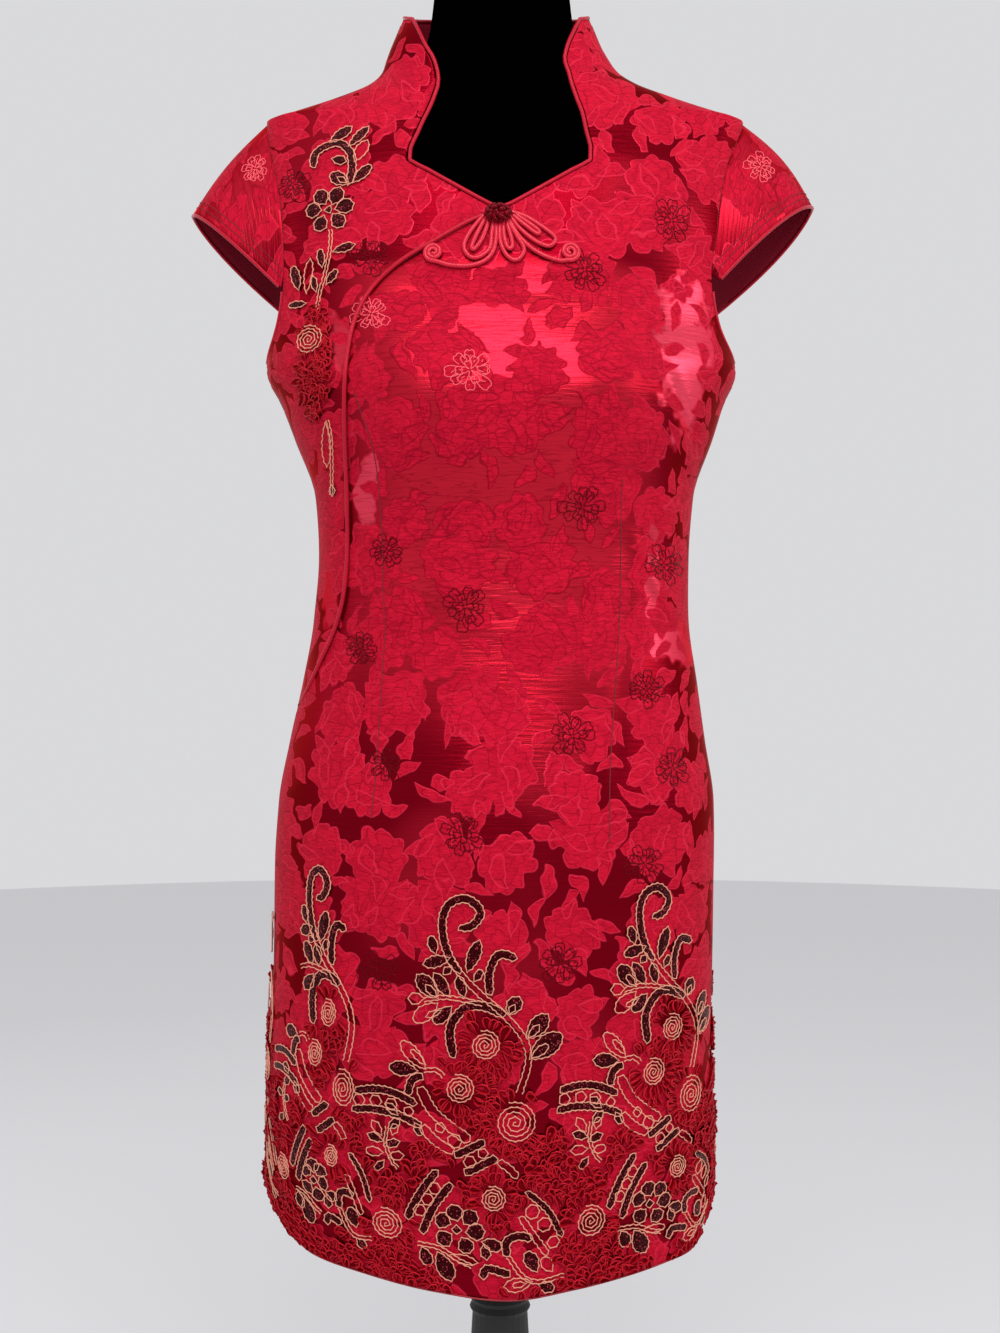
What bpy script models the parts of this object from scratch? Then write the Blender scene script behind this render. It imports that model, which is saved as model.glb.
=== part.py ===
"""Knee-length cheongsam worn by a limbless dress form on a turned stand.

Metres, +Z up, the front of the dress faces -Y and the stand's base rests on z = 0.
Every cloth panel is read from one family of rings, torso_point(angle, level): angle 0 is the
centre front, 90 degrees the +X side and 180 degrees the centre back, and level is the ring's
nominal height. Walls are lofted from those points and given their thickness inwards.
"""

import math
from typing import NamedTuple

import bmesh
import bpy
import numpy as np
from mathutils import Vector

# Driving sizes of the cloth
CLOTH = 0.0015
SEAM_GAP = 0.0003
HEM_Z = 0.461
SLIT_TOP_Z = 0.625
SLIT_HALF_GAP = 0.0022
UNDERARM_Z = 1.168
NECK_POINT_Z = 1.277
NECK_CORNER_Z = 1.322
SHOULDER_TIP_Z = 1.372
COLLAR_BASE_Z = 1.400
COLLAR_TOP_Z = 1.457
COLLAR_BACK_LIFT = 0.021
COLLAR_FRONT_DROP = 0.020
FRONT_SQUARE = 0.86
BACK_SQUARE = 0.92

# Trims
PIPING_RADIUS = 0.0016
PLACKET_RADIUS = 0.0017
BINDING_RADIUS = 0.0014
FROG_RADIUS = 0.0014

# Appliqued hem band
BAND_TOP_Z = 0.655
BAND_RAISE = 0.0011
ROSETTE_RADIUS = 0.027
ROSETTE_RAISE = 0.0030

# Stand
BASE_RADIUS = 0.180
BASE_THICK = 0.014
POLE_RADIUS = 0.0125
FORM_BOTTOM_Z = 0.790
FORM_TOP_Z = 1.545
CAP_THICK = 0.012

FRONT_COLUMNS = 24
BACK_COLUMNS = 20
FORM_COLUMNS = 32


class Section(NamedTuple):
    """One ring of the dress: sizes from the ring's middle."""

    level: float
    half_width: float
    front: float
    back: float
    sway: float


DRESS = (
    Section(0.461, 0.1770, 0.1080, 0.1080, -0.0080),
    Section(0.533, 0.1780, 0.1090, 0.1100, -0.0080),
    Section(0.606, 0.1770, 0.1110, 0.1140, -0.0080),
    Section(0.703, 0.1765, 0.1130, 0.1200, -0.0055),
    Section(0.776, 0.1766, 0.1140, 0.1240, -0.0045),
    Section(0.825, 0.1750, 0.1120, 0.1230, -0.0030),
    Section(0.874, 0.1670, 0.1070, 0.1140, -0.0020),
    Section(0.922, 0.1585, 0.1000, 0.0970, 0.0000),
    Section(0.971, 0.1510, 0.0965, 0.0810, 0.0010),
    Section(1.019, 0.1490, 0.0980, 0.0750, 0.0030),
    Section(1.068, 0.1520, 0.1080, 0.0800, 0.0035),
    Section(1.1165, 0.1685, 0.1215, 0.0930, 0.0030),
    Section(1.145, 0.1785, 0.1250, 0.0990, 0.0020),
    Section(1.168, 0.1885, 0.1210, 0.1020, 0.0010),
    Section(1.200, 0.1865, 0.1090, 0.1040, -0.0015),
    Section(1.240, 0.1890, 0.0990, 0.1030, -0.0020),
    Section(1.277, 0.1920, 0.0900, 0.0990, 0.0000),
    Section(1.322, 0.1910, 0.0770, 0.0910, 0.0000),
    Section(1.350, 0.1920, 0.0630, 0.0830, 0.0020),
    Section(1.372, 0.1925, 0.0520, 0.0740, 0.0040),
    Section(1.376, 0.1790, 0.0505, 0.0720, 0.0040),
    Section(1.388, 0.1410, 0.0480, 0.0670, 0.0040),
    Section(1.400, 0.1100, 0.0465, 0.0640, 0.0025),
    Section(1.412, 0.0955, 0.0460, 0.0620, 0.0000),
    Section(1.424, 0.0893, 0.0460, 0.0620, -0.0020),
    Section(1.4355, 0.0840, 0.0460, 0.0625, -0.0030),
    Section(1.445, 0.0800, 0.0455, 0.0630, -0.0030),
    Section(1.457, 0.0750, 0.0450, 0.0630, -0.0030),
)


class FormRing(NamedTuple):
    """One ring of the dress form."""

    level: float
    half_width: float
    front: float
    back: float
    sway: float


FORM = (
    FormRing(0.790, 0.1350, 0.0800, 0.0900, -0.0030),
    FormRing(0.794, 0.1480, 0.0920, 0.1020, -0.0030),
    FormRing(0.806, 0.1580, 0.1000, 0.1100, -0.0030),
    FormRing(0.840, 0.1630, 0.1020, 0.1120, -0.0025),
    FormRing(0.900, 0.1540, 0.0960, 0.0970, -0.0010),
    FormRing(0.950, 0.1450, 0.0900, 0.0780, 0.0010),
    FormRing(1.019, 0.1400, 0.0900, 0.0680, 0.0030),
    FormRing(1.068, 0.1430, 0.1000, 0.0730, 0.0035),
    FormRing(1.1165, 0.1590, 0.1150, 0.0860, 0.0030),
    FormRing(1.145, 0.1660, 0.1190, 0.0920, 0.0020),
    FormRing(1.168, 0.1660, 0.1150, 0.0955, 0.0010),
    FormRing(1.200, 0.1620, 0.1030, 0.0975, 0.0000),
    FormRing(1.240, 0.1590, 0.0930, 0.0965, 0.0000),
    FormRing(1.277, 0.1600, 0.0850, 0.0930, 0.0000),
    FormRing(1.322, 0.1670, 0.0720, 0.0850, 0.0000),
    FormRing(1.350, 0.1760, 0.0585, 0.0775, 0.0020),
    FormRing(1.367, 0.1780, 0.0500, 0.0710, 0.0040),
    FormRing(1.3764, 0.1692, 0.0470, 0.0670, 0.0040),
    FormRing(1.3873, 0.1368, 0.0440, 0.0630, 0.0040),
    FormRing(1.3986, 0.1082, 0.0430, 0.0590, 0.0030),
    FormRing(1.4050, 0.0890, 0.0430, 0.0560, 0.0015),
    FormRing(1.4140, 0.0740, 0.0430, 0.0545, 0.0000),
    FormRing(1.4260, 0.0645, 0.0430, 0.0540, 0.0010),
    FormRing(1.4420, 0.0590, 0.0435, 0.0540, 0.0015),
    FormRing(1.4620, 0.0560, 0.0440, 0.0535, 0.0015),
    FormRing(1.5000, 0.0525, 0.0450, 0.0525, 0.0015),
    FormRing(1.5450, 0.0510, 0.0460, 0.0515, 0.0015),
)


class Armhole(NamedTuple):
    """Where the cloth ends beside the armhole, in degrees from centre front or centre back."""

    level: float
    front_angle: float
    back_angle: float


ARMHOLE = (
    Armhole(1.168, 90.0, 90.0),
    Armhole(1.173, 82.0, 84.0),
    Armhole(1.180, 76.0, 80.0),
    Armhole(1.190, 70.5, 76.0),
    Armhole(1.205, 66.0, 72.5),
    Armhole(1.225, 62.8, 70.0),
    Armhole(1.250, 61.8, 68.5),
    Armhole(1.277, 62.5, 68.5),
    Armhole(1.305, 65.5, 70.0),
    Armhole(1.330, 70.0, 73.0),
    Armhole(1.350, 76.0, 78.0),
    Armhole(1.363, 82.0, 83.0),
    Armhole(1.372, 90.0, 90.0),
)


class NeckEdge(NamedTuple):
    """Half the width of the open neckline at a level."""

    level: float
    half_gap: float


NECKLINE = (
    NeckEdge(1.277, 0.0000),
    NeckEdge(1.288, 0.0190),
    NeckEdge(1.299, 0.0370),
    NeckEdge(1.311, 0.0560),
    NeckEdge(1.322, 0.0715),
    NeckEdge(1.332, 0.0715),
    NeckEdge(1.345, 0.0680),
    NeckEdge(1.362, 0.0635),
    NeckEdge(1.380, 0.0575),
    NeckEdge(1.394, 0.0540),
    NeckEdge(1.412, 0.0535),
    NeckEdge(1.430, 0.0580),
    NeckEdge(1.457, 0.0680),
)


class EdgePoint(NamedTuple):
    """A point of the wrap edge, seen from the front."""

    x: float
    z: float


WRAP_EDGE = (
    EdgePoint(0.0000, 1.2770),
    EdgePoint(-0.0220, 1.2690),
    EdgePoint(-0.0500, 1.2530),
    EdgePoint(-0.0760, 1.2370),
    EdgePoint(-0.0960, 1.2180),
    EdgePoint(-0.1080, 1.1950),
    EdgePoint(-0.1140, 1.1600),
    EdgePoint(-0.1160, 1.1100),
    EdgePoint(-0.1160, 1.0500),
    EdgePoint(-0.1170, 1.0100),
    EdgePoint(-0.1210, 0.9800),
    EdgePoint(-0.1300, 0.9540),
    EdgePoint(-0.1420, 0.9310),
    EdgePoint(-0.1560, 0.9080),
    EdgePoint(-0.1680, 0.8920),
)


class HemRise(NamedTuple):
    """How far the hem climbs above its lowest point, in degrees towards +X."""

    angle: float
    rise: float


FRONT_HEM_RISE = (
    HemRise(-90.0, 0.078),
    HemRise(-82.0, 0.060),
    HemRise(-67.0, 0.0415),
    HemRise(-57.0, 0.0300),
    HemRise(-50.0, 0.0235),
    HemRise(-33.0, 0.0160),
    HemRise(-14.0, 0.0065),
    HemRise(5.0, 0.0000),
    HemRise(21.0, 0.0060),
    HemRise(38.0, 0.0130),
    HemRise(50.0, 0.0172),
    HemRise(61.0, 0.0200),
    HemRise(71.0, 0.0360),
    HemRise(80.0, 0.0500),
    HemRise(90.0, 0.0680),
)
BACK_HEM_RISE = (
    HemRise(-90.0, 0.056),
    HemRise(-78.0, 0.032),
    HemRise(-60.0, 0.020),
    HemRise(-30.0, 0.008),
    HemRise(0.0, 0.002),
    HemRise(30.0, 0.008),
    HemRise(60.0, 0.020),
    HemRise(78.0, 0.032),
    HemRise(90.0, 0.056),
)
HEM_REACH = 0.240


class SleeveFit(NamedTuple):
    """How one cap sleeve hangs; its tip and its front end are given on the +X side."""

    name: str
    sign: int
    tip_x: float
    tip_z: float
    crown: float
    front_bow: float
    back_bow: float
    front_end: tuple


SLEEVES = (
    SleeveFit("left", -1, 0.2490, 1.2985, 0.0040, -0.10, 0.14, (0.1710, -0.0487, 1.2290)),
    SleeveFit("right", 1, 0.2535, 1.3050, 0.0062, -0.20, 0.20, (0.1705, -0.0497, 1.2345)),
)
SLEEVE_NOTCH_Z = 1.240
SLEEVE_TIP_Y = 0.003
SLEEVE_BACK_END = Vector((0.1790, 0.0430, 1.2270))
SLEEVE_SEAM_GAP = 0.0019
SLEEVE_COLUMNS = 18
SLEEVE_ROWS = 5


class Fold(NamedTuple):
    """A soft trough (depth > 0) or ridge (depth < 0) of the front, seen from the front."""

    x_start: float
    z_start: float
    x_end: float
    z_end: float
    width: float
    depth: float


FOLDS = (
    Fold(-0.095, 1.150, -0.090, 0.830, 0.008, 0.0012),
    Fold(0.098, 1.120, 0.088, 0.830, 0.008, 0.0012),
    Fold(0.118, 1.165, 0.155, 1.095, 0.007, 0.0020),
    Fold(0.110, 1.130, 0.140, 0.990, 0.012, -0.0022),
    Fold(-0.110, 1.060, -0.070, 0.960, 0.014, -0.0016),
    Fold(0.080, 0.880, 0.085, 0.740, 0.022, -0.0018),
    Fold(-0.120, 0.880, -0.125, 0.700, 0.026, -0.0014),
    Fold(-0.080, 1.222, 0.090, 1.222, 0.012, 0.0016),
)


class Rosette(NamedTuple):
    """A ruched flower of the hem band: degrees from centre, and height."""

    angle: float
    z: float


FRONT_ROSETTES = (
    Rosette(-3.0, 0.640),
    Rosette(-11.0, 0.602),
    Rosette(6.0, 0.585),
    Rosette(-52.0, 0.612),
    Rosette(-70.0, 0.560),
    Rosette(-2.0, 0.530),
    Rosette(-30.0, 0.500),
    Rosette(22.0, 0.497),
    Rosette(50.0, 0.650),
    Rosette(41.0, 0.610),
    Rosette(62.0, 0.598),
    Rosette(56.0, 0.540),
    Rosette(-46.0, 0.548),
    Rosette(80.0, 0.545),
)
BACK_ROSETTES = tuple(
    Rosette(angle, z)
    for angle, z in (
        (-64.0, 0.610), (-44.0, 0.640), (-30.0, 0.600), (-6.0, 0.635), (8.0, 0.595),
        (30.0, 0.640), (46.0, 0.600), (66.0, 0.620), (-72.0, 0.545), (-50.0, 0.535),
        (-24.0, 0.520), (-2.0, 0.530), (24.0, 0.515), (52.0, 0.540), (74.0, 0.550),
    )
)


class Turning(NamedTuple):
    """A radius of the turned post at a height."""

    radius: float
    z: float


POST = (
    Turning(0.0150, 0.0145),
    Turning(0.0420, 0.0145),
    Turning(0.0430, 0.0220),
    Turning(0.0300, 0.0320),
    Turning(0.0210, 0.0520),
    Turning(0.0190, 0.1200),
    Turning(0.0225, 0.2200),
    Turning(0.0190, 0.3000),
    Turning(0.0190, 0.3200),
    Turning(0.0250, 0.3280),
    Turning(0.0190, 0.3360),
    Turning(0.0215, 0.3460),
    Turning(0.0235, 0.3900),
    Turning(0.0222, 0.4120),
    Turning(0.0246, 0.4160),
    Turning(0.0222, 0.4200),
    Turning(0.0246, 0.4240),
    Turning(0.0222, 0.4280),
    Turning(0.0225, 0.4500),
    Turning(0.0240, 0.4900),
    Turning(0.0180, 0.5200),
    Turning(0.0130, 0.5260),
)


def smooth_lookup(rows, column, at, key="level"):
    """A value of a table between its rows, on a cubic that never overshoots them."""
    keys = np.array([getattr(row, key) for row in rows])
    values = np.array([getattr(row, column) for row in rows])
    if at <= keys[0]:
        return float(values[0])
    if at >= keys[-1]:
        return float(values[-1])
    steps = np.diff(keys)
    slopes = np.diff(values) / steps
    tangents = np.zeros(len(keys))
    for i in range(1, len(keys) - 1):
        if slopes[i - 1] * slopes[i] > 0:
            tangents[i] = 2 * slopes[i - 1] * slopes[i] / (slopes[i - 1] + slopes[i])
    tangents[0] = slopes[0]
    tangents[-1] = slopes[-1]
    i = int(np.searchsorted(keys, at) - 1)
    t = (at - keys[i]) / steps[i]
    return float(
        (1 + 2 * t) * (1 - t) ** 2 * values[i]
        + t * (1 - t) ** 2 * steps[i] * tangents[i]
        + t * t * (3 - 2 * t) * values[i + 1]
        + t * t * (t - 1) * steps[i] * tangents[i + 1]
    )


def clamp01(value):
    """value held between 0 and 1."""
    return min(1.0, max(0.0, value))


def ring_height(degrees, level, is_back):
    """The true height of a ring's point: collar rings tilt, and hem rings climb to the slits."""
    side = math.radians(min(abs(degrees), 90.0))
    z = level
    collar = clamp01((level - COLLAR_BASE_Z) / (COLLAR_TOP_Z - COLLAR_BASE_Z))
    z += collar * (COLLAR_BACK_LIFT if is_back else -COLLAR_FRONT_DROP) * math.cos(side)
    near_hem = clamp01(1 - (level - HEM_Z) / HEM_REACH) ** 2
    rises = BACK_HEM_RISE if is_back else FRONT_HEM_RISE
    z += near_hem * smooth_lookup(rises, "rise", degrees, key="angle")
    return z


def fold_depth(x, z):
    """How far the folds press the front in at a point seen from the front."""
    depth = 0.0
    for fold in FOLDS:
        along = np.array([fold.x_end - fold.x_start, fold.z_end - fold.z_start])
        offset = np.array([x - fold.x_start, z - fold.z_start])
        share = float(offset @ along / (along @ along))
        held = clamp01(share)
        across = float(np.linalg.norm(offset - held * along))
        taper = math.sin(math.pi * clamp01(0.08 + 0.84 * held))
        depth += fold.depth * taper * math.exp(-((across / fold.width) ** 2))
    return depth


def torso_point(degrees, level, is_back=False):
    """The dress's outer surface. degrees runs from centre front, or from centre back."""
    angle = math.radians(degrees)
    half_width = smooth_lookup(DRESS, "half_width", level)
    sway = smooth_lookup(DRESS, "sway", level)
    slit = clamp01((SLIT_TOP_Z - level) / (SLIT_TOP_Z - HEM_Z))
    apart = 0.5 * SEAM_GAP + 0.0001 + SLIT_HALF_GAP * slit
    x = half_width * math.sin(angle)
    across = max(math.cos(angle), 0.0)
    z = ring_height(degrees, level, is_back)
    if is_back:
        depth = smooth_lookup(DRESS, "back", level) * across**BACK_SQUARE
        flare = 1 + 0.03 * slit * abs(math.sin(angle)) ** 6
        return Vector((sway + x * flare, apart + depth, z))
    depth = smooth_lookup(DRESS, "front", level) * across**FRONT_SQUARE
    for side in (-1, 1):
        mound = ((x - side * 0.080) / 0.046) ** 2 + ((level - 1.135) / 0.048) ** 2
        depth += 0.0075 * math.exp(-mound)
    depth -= fold_depth(x, z) * clamp01(4 * across)
    return Vector((sway + x, -apart - depth, z))


def torso_normal(degrees, level, is_back=False):
    """The outward unit normal of the dress's surface."""
    turn = 0.4
    step = 0.0012
    low = max(level - step, HEM_Z)
    high = min(level + step, COLLAR_TOP_Z)
    ahead = min(degrees + turn, 90.0)
    behind = max(degrees - turn, -90.0)
    around = torso_point(ahead, level, is_back) - torso_point(behind, level, is_back)
    upward = torso_point(degrees, high, is_back) - torso_point(degrees, low, is_back)
    normal = around.cross(upward)
    if is_back:
        normal = -normal
    return normal.normalized()


def armhole_angle(level, is_back):
    """Where the panel ends at the side, in degrees."""
    if level <= UNDERARM_Z or level >= SHOULDER_TIP_Z:
        return 90.0
    return smooth_lookup(ARMHOLE, "back_angle" if is_back else "front_angle", level)


def neckline_angle(level):
    """Where the open neckline's edge lies, in degrees."""
    half_gap = smooth_lookup(NECKLINE, "half_gap", level)
    return math.degrees(math.asin(half_gap / smooth_lookup(DRESS, "half_width", level)))


NECK_LEVELS = (1.288, 1.299, 1.311, NECK_CORNER_Z, 1.333, 1.347, 1.360, SHOULDER_TIP_Z, 1.376,
               1.388, COLLAR_BASE_Z, 1.412, 1.424, 1.4355, 1.447, COLLAR_TOP_Z)
ARM_LEVELS = (1.173, 1.180, 1.190, 1.205, 1.225)


def rows_between(low, high, step):
    """Evenly spaced levels from low up to, and without, high."""
    count = max(1, round((high - low) / step))
    return [low + (high - low) * i / count for i in range(count)]


def band_relief(degrees, z, rosettes):
    """How far the applique stands out of the cloth near the hem."""
    edge = BAND_TOP_Z + 0.018 * math.sin(math.radians(degrees) * 5.0) - z
    relief = BAND_RAISE * clamp01(edge / 0.02) * clamp01((z - HEM_Z - 0.012) / 0.012)
    radius = 0.5 * (smooth_lookup(DRESS, "half_width", 0.6) + smooth_lookup(DRESS, "front", 0.6))
    domes = 0.0
    for rosette in rosettes:
        across = math.radians(degrees - rosette.angle) * radius
        reach = math.hypot(across, z - rosette.z) / ROSETTE_RADIUS
        if reach < 1:
            domes = max(domes, math.sqrt(1 - reach * reach))
    return relief + ROSETTE_RAISE * domes


def collection(name):
    """A new collection of the scene."""
    made = bpy.data.collections.new(name)
    bpy.context.scene.collection.children.link(made)
    return made


def material(name, colour, roughness, metallic=0.0):
    """A Principled BSDF material."""
    made = bpy.data.materials.new(name)
    made.use_nodes = True
    shader = made.node_tree.nodes["Principled BSDF"]
    shader.inputs["Base Color"].default_value = (*colour, 1.0)
    shader.inputs["Roughness"].default_value = roughness
    shader.inputs["Metallic"].default_value = metallic
    made.diffuse_color = (*colour, 1.0)
    return made


def object_from_bmesh(name, shape, finish, home):
    """Links a bmesh as a named, smooth-shaded object."""
    mesh = bpy.data.meshes.new(name)
    shape.to_mesh(mesh)
    shape.free()
    mesh.shade_smooth()
    mesh.set_sharp_from_angle(angle=math.radians(40))
    made = bpy.data.objects.new(name, mesh)
    made.data.materials.append(finish)
    home.objects.link(made)
    return made


def wall(name, blocks, finish, home):
    """One closed cloth wall from blocks of (outer point, inner point) rows that share edges."""
    shape = bmesh.new()
    pairs = {}

    def pair_at(outer, inner):
        key = tuple(round(value, 6) for value in outer)
        if key not in pairs:
            pairs[key] = (shape.verts.new(outer), shape.verts.new(inner))
        return pairs[key]

    rim = {}
    for rows in blocks:
        corners = [[pair_at(*point) for point in row] for row in rows]
        for lower, upper in zip(corners, corners[1:]):
            for i in range(len(lower) - 1):
                loop = [lower[i], lower[i + 1], upper[i + 1], upper[i]]
                loop = [pair for k, pair in enumerate(loop) if pair is not loop[k - 1]]
                shape.faces.new([pair[0] for pair in loop])
                shape.faces.new([pair[1] for pair in reversed(loop)])
                for k, pair in enumerate(loop):
                    edge = (loop[k - 1], pair)
                    if (edge[1], edge[0]) in rim:
                        del rim[(edge[1], edge[0])]
                    else:
                        rim[edge] = True
    for start, end in rim:
        shape.faces.new([end[0], start[0], start[1], end[1]])
    bmesh.ops.recalc_face_normals(shape, faces=shape.faces)
    return object_from_bmesh(name, shape, finish, home)


def cloth_pair(degrees, level, is_back=False, rosettes=()):
    """The outer and inner point of the wall; the applique is raised in the outer one alone."""
    point = torso_point(degrees, level, is_back)
    normal = torso_normal(degrees, level, is_back)
    raised = band_relief(degrees, point.z, rosettes) if rosettes else 0.0
    return point + normal * raised, point - normal * CLOTH


def panel_row(level, first, last, columns, is_back, rosettes):
    """A row of wall points between two angles."""
    spread = [first + (last - first) * i / columns for i in range(columns + 1)]
    return [cloth_pair(degrees, level, is_back, rosettes) for degrees in spread]


def lower_levels(band_step, body_step):
    """Levels from the hem to the underarm, closer together in the applique band."""
    band = rows_between(HEM_Z, 0.700, band_step)
    return band + rows_between(0.700, UNDERARM_Z, body_step)


def front_wall(finish, home):
    """The whole front before the wrap edge parts it: one sheet below the neck point, two above."""
    lower = lower_levels(0.016, 0.032) + [1.168, 1.173, 1.180, 1.190, 1.205, 1.225, 1.250, NECK_POINT_Z]
    upper = [NECK_POINT_Z, *NECK_LEVELS]
    sheet = []
    for level in lower:
        side = armhole_angle(level, False)
        sheet.append(panel_row(level, -side, side, FRONT_COLUMNS, False, FRONT_ROSETTES))
    blocks = [sheet]
    half = FRONT_COLUMNS // 2
    for sign in (-1, 1):
        rows = []
        for level in upper:
            inner = sign * neckline_angle(level)
            outer = sign * armhole_angle(level, False)
            first, last = (outer, inner) if sign < 0 else (inner, outer)
            rows.append(panel_row(level, first, last, half, False, ()))
        blocks.append(rows)
    return wall("front", blocks, finish, home)


def back_wall(finish, home):
    """The back, with its share of the grown-on collar."""
    levels = lower_levels(0.024, 0.039) + [1.168, 1.173, 1.180, 1.190, 1.205, 1.225, 1.250, 1.284]
    levels += [1.322, 1.350, SHOULDER_TIP_Z, 1.376, 1.388, COLLAR_BASE_Z, 1.412, 1.4355]
    levels += [COLLAR_TOP_Z]
    rows = []
    for level in levels:
        side = armhole_angle(level, True)
        rows.append(panel_row(level, side, -side, BACK_COLUMNS, True, BACK_ROSETTES))
    return wall("back", [rows], finish, home)


def on_side(point, sign):
    """A point of the +X side, or its mirror image; also the way back."""
    return Vector((sign * point.x, point.y, point.z))


def armhole_rim(share, sign):
    """A side's armhole edge, seen on +X, from the front notch (-1) over the shoulder (0) back (1)."""
    is_back = share > 0
    rise = math.sin(0.5 * math.pi * (1 - abs(share)))
    level = SLEEVE_NOTCH_Z + (SHOULDER_TIP_Z - SLEEVE_NOTCH_Z) * rise
    point = on_side(torso_point(sign * armhole_angle(level, is_back), level, is_back), sign)
    return point + Vector((SLEEVE_SEAM_GAP, 0.0, 0.0))


def sleeve_hem(share, fit):
    """The cap sleeve's hem: its front bows up, its back bows down, and it is round from above."""
    end = SLEEVE_BACK_END if share > 0 else Vector(fit.front_end)
    bow = fit.back_bow if share > 0 else fit.front_bow
    reach = abs(share)
    x = fit.tip_x + (end.x - fit.tip_x) * reach ** (1.5 + bow)
    z = fit.tip_z + (end.z - fit.tip_z) * reach ** (1.5 - bow)
    swing = (1 - (1 - reach) ** 2) ** 0.8
    return Vector((x, SLEEVE_TIP_Y + (end.y - SLEEVE_TIP_Y) * swing, z))


def sleeve_point(share, drop, fit):
    """A sleeve's outer surface on the +X side, from the armhole seam (drop 0) to its hem (1)."""
    seam = armhole_rim(share, fit.sign)
    hem = sleeve_hem(share, fit)
    crown = fit.crown * math.sin(math.pi * drop) * (1 - abs(share) ** 2)
    bulge = Vector((0.75, 0.25 * share, 0.62)).normalized() * crown
    return seam.lerp(hem, drop) + bulge


def sleeve_normal(share, drop, fit):
    """The outward unit normal of a sleeve on the +X side."""
    step = 0.02
    ahead = sleeve_point(min(share + step, 1.0), drop, fit)
    behind = sleeve_point(max(share - step, -1.0), drop, fit)
    lower = sleeve_point(share, min(drop + step, 1.0), fit)
    upper = sleeve_point(share, max(drop - step, 0.0), fit)
    normal = (lower - upper).cross(ahead - behind).normalized()
    return -normal if normal.x < 0 else normal


def sleeve_shares():
    """The sleeve's columns, from its front end to its back end."""
    return [-1 + 2 * k / SLEEVE_COLUMNS for k in range(SLEEVE_COLUMNS + 1)]


def sleeve(name, fit, finish, home):
    """A cap sleeve."""
    rows = []
    for i in range(SLEEVE_ROWS + 1):
        drop = i / SLEEVE_ROWS
        row = []
        for share in sleeve_shares():
            outer = sleeve_point(share, drop, fit)
            inner = outer - sleeve_normal(share, drop, fit) * CLOTH
            row.append((on_side(outer, fit.sign), on_side(inner, fit.sign)))
        rows.append(row)
    return wall(name, [rows], finish, home)


def tube(name, points, radius, finish, home, closed=False, resolution=1):
    """A round cord through points, as a curve with filled caps."""
    curve = bpy.data.curves.new(name, "CURVE")
    curve.dimensions = "3D"
    curve.bevel_depth = radius
    curve.bevel_resolution = resolution
    curve.use_fill_caps = not closed
    curve.twist_mode = "MINIMUM"
    spline = curve.splines.new("POLY")
    spline.points.add(len(points) - 1)
    for knot, point in zip(spline.points, points):
        knot.co = (*point, 1.0)
    spline.use_cyclic_u = closed
    made = bpy.data.objects.new(name, curve)
    curve.materials.append(finish)
    home.objects.link(made)
    return made


def even_points(points, count):
    """count points evenly spaced along a smooth curve through the given ones."""
    knots = [Vector(point) for point in points]
    ends = [2 * knots[0] - knots[1], *knots, 2 * knots[-1] - knots[-2]]
    fine = []
    for a, b, c, d in zip(ends, ends[1:], ends[2:], ends[3:]):
        for k in range(12):
            t = k / 12
            fine.append(
                0.5 * (2 * b + (c - a) * t + (2 * a - 5 * b + 4 * c - d) * t * t
                       + (3 * b - a - 3 * c + d) * t**3)
            )
    fine.append(knots[-1])
    lengths = [0.0]
    for before, after in zip(fine, fine[1:]):
        lengths.append(lengths[-1] + (after - before).length)
    made = []
    for k in range(count):
        target = lengths[-1] * k / (count - 1)
        i = min(int(np.searchsorted(lengths, target)), len(fine) - 1)
        i = max(i, 1)
        span = lengths[i] - lengths[i - 1]
        share = (target - lengths[i - 1]) / span if span > 0 else 0.0
        made.append(fine[i - 1].lerp(fine[i], clamp01(share)))
    return made


def front_level(x, z):
    """The angle of the front's surface point that is seen at x and z above the band."""
    half_width = smooth_lookup(DRESS, "half_width", z)
    sway = smooth_lookup(DRESS, "sway", z)
    return math.degrees(math.asin(max(-1.0, min(1.0, (x - sway) / half_width))))


def on_front(x, z, stand_off):
    """A point standing off the front's outer surface, seen at x and z."""
    degrees = front_level(x, z)
    return torso_point(degrees, z) + torso_normal(degrees, z) * stand_off


def wrap_cutter(name, shift_x, shift_z, home):
    """The prism over everything on the -X side of the wrap edge."""
    edge = even_points([(point.x, 0.0, point.z) for point in WRAP_EDGE], 36)
    outline = [Vector((point.x + shift_x, 0.0, point.z + shift_z)) for point in edge]
    outline += [Vector((-0.30, 0.0, 0.880)), Vector((-0.30, 0.0, 1.50)), Vector((shift_x, 0.0, 1.50))]
    shape = bmesh.new()
    corners = [shape.verts.new((point.x, -0.20, point.z)) for point in outline]
    face = shape.faces.new(corners)
    pulled = bmesh.ops.extrude_face_region(shape, geom=[face])
    moved = [item for item in pulled["geom"] if isinstance(item, bmesh.types.BMVert)]
    bmesh.ops.translate(shape, verts=moved, vec=(0.0, 0.24, 0.0))
    bmesh.ops.recalc_face_normals(shape, faces=shape.faces)
    mesh = bpy.data.meshes.new(name)
    shape.to_mesh(mesh)
    shape.free()
    made = bpy.data.objects.new(name, mesh)
    made.hide_render = True
    made.display_type = "WIRE"
    home.objects.link(made)
    return made


def cut_with(target, cutter, operation):
    """Adds an exact Boolean to an object."""
    modifier = target.modifiers.new(operation.title(), "BOOLEAN")
    modifier.operation = operation
    modifier.object = cutter
    modifier.solver = "EXACT"


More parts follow.
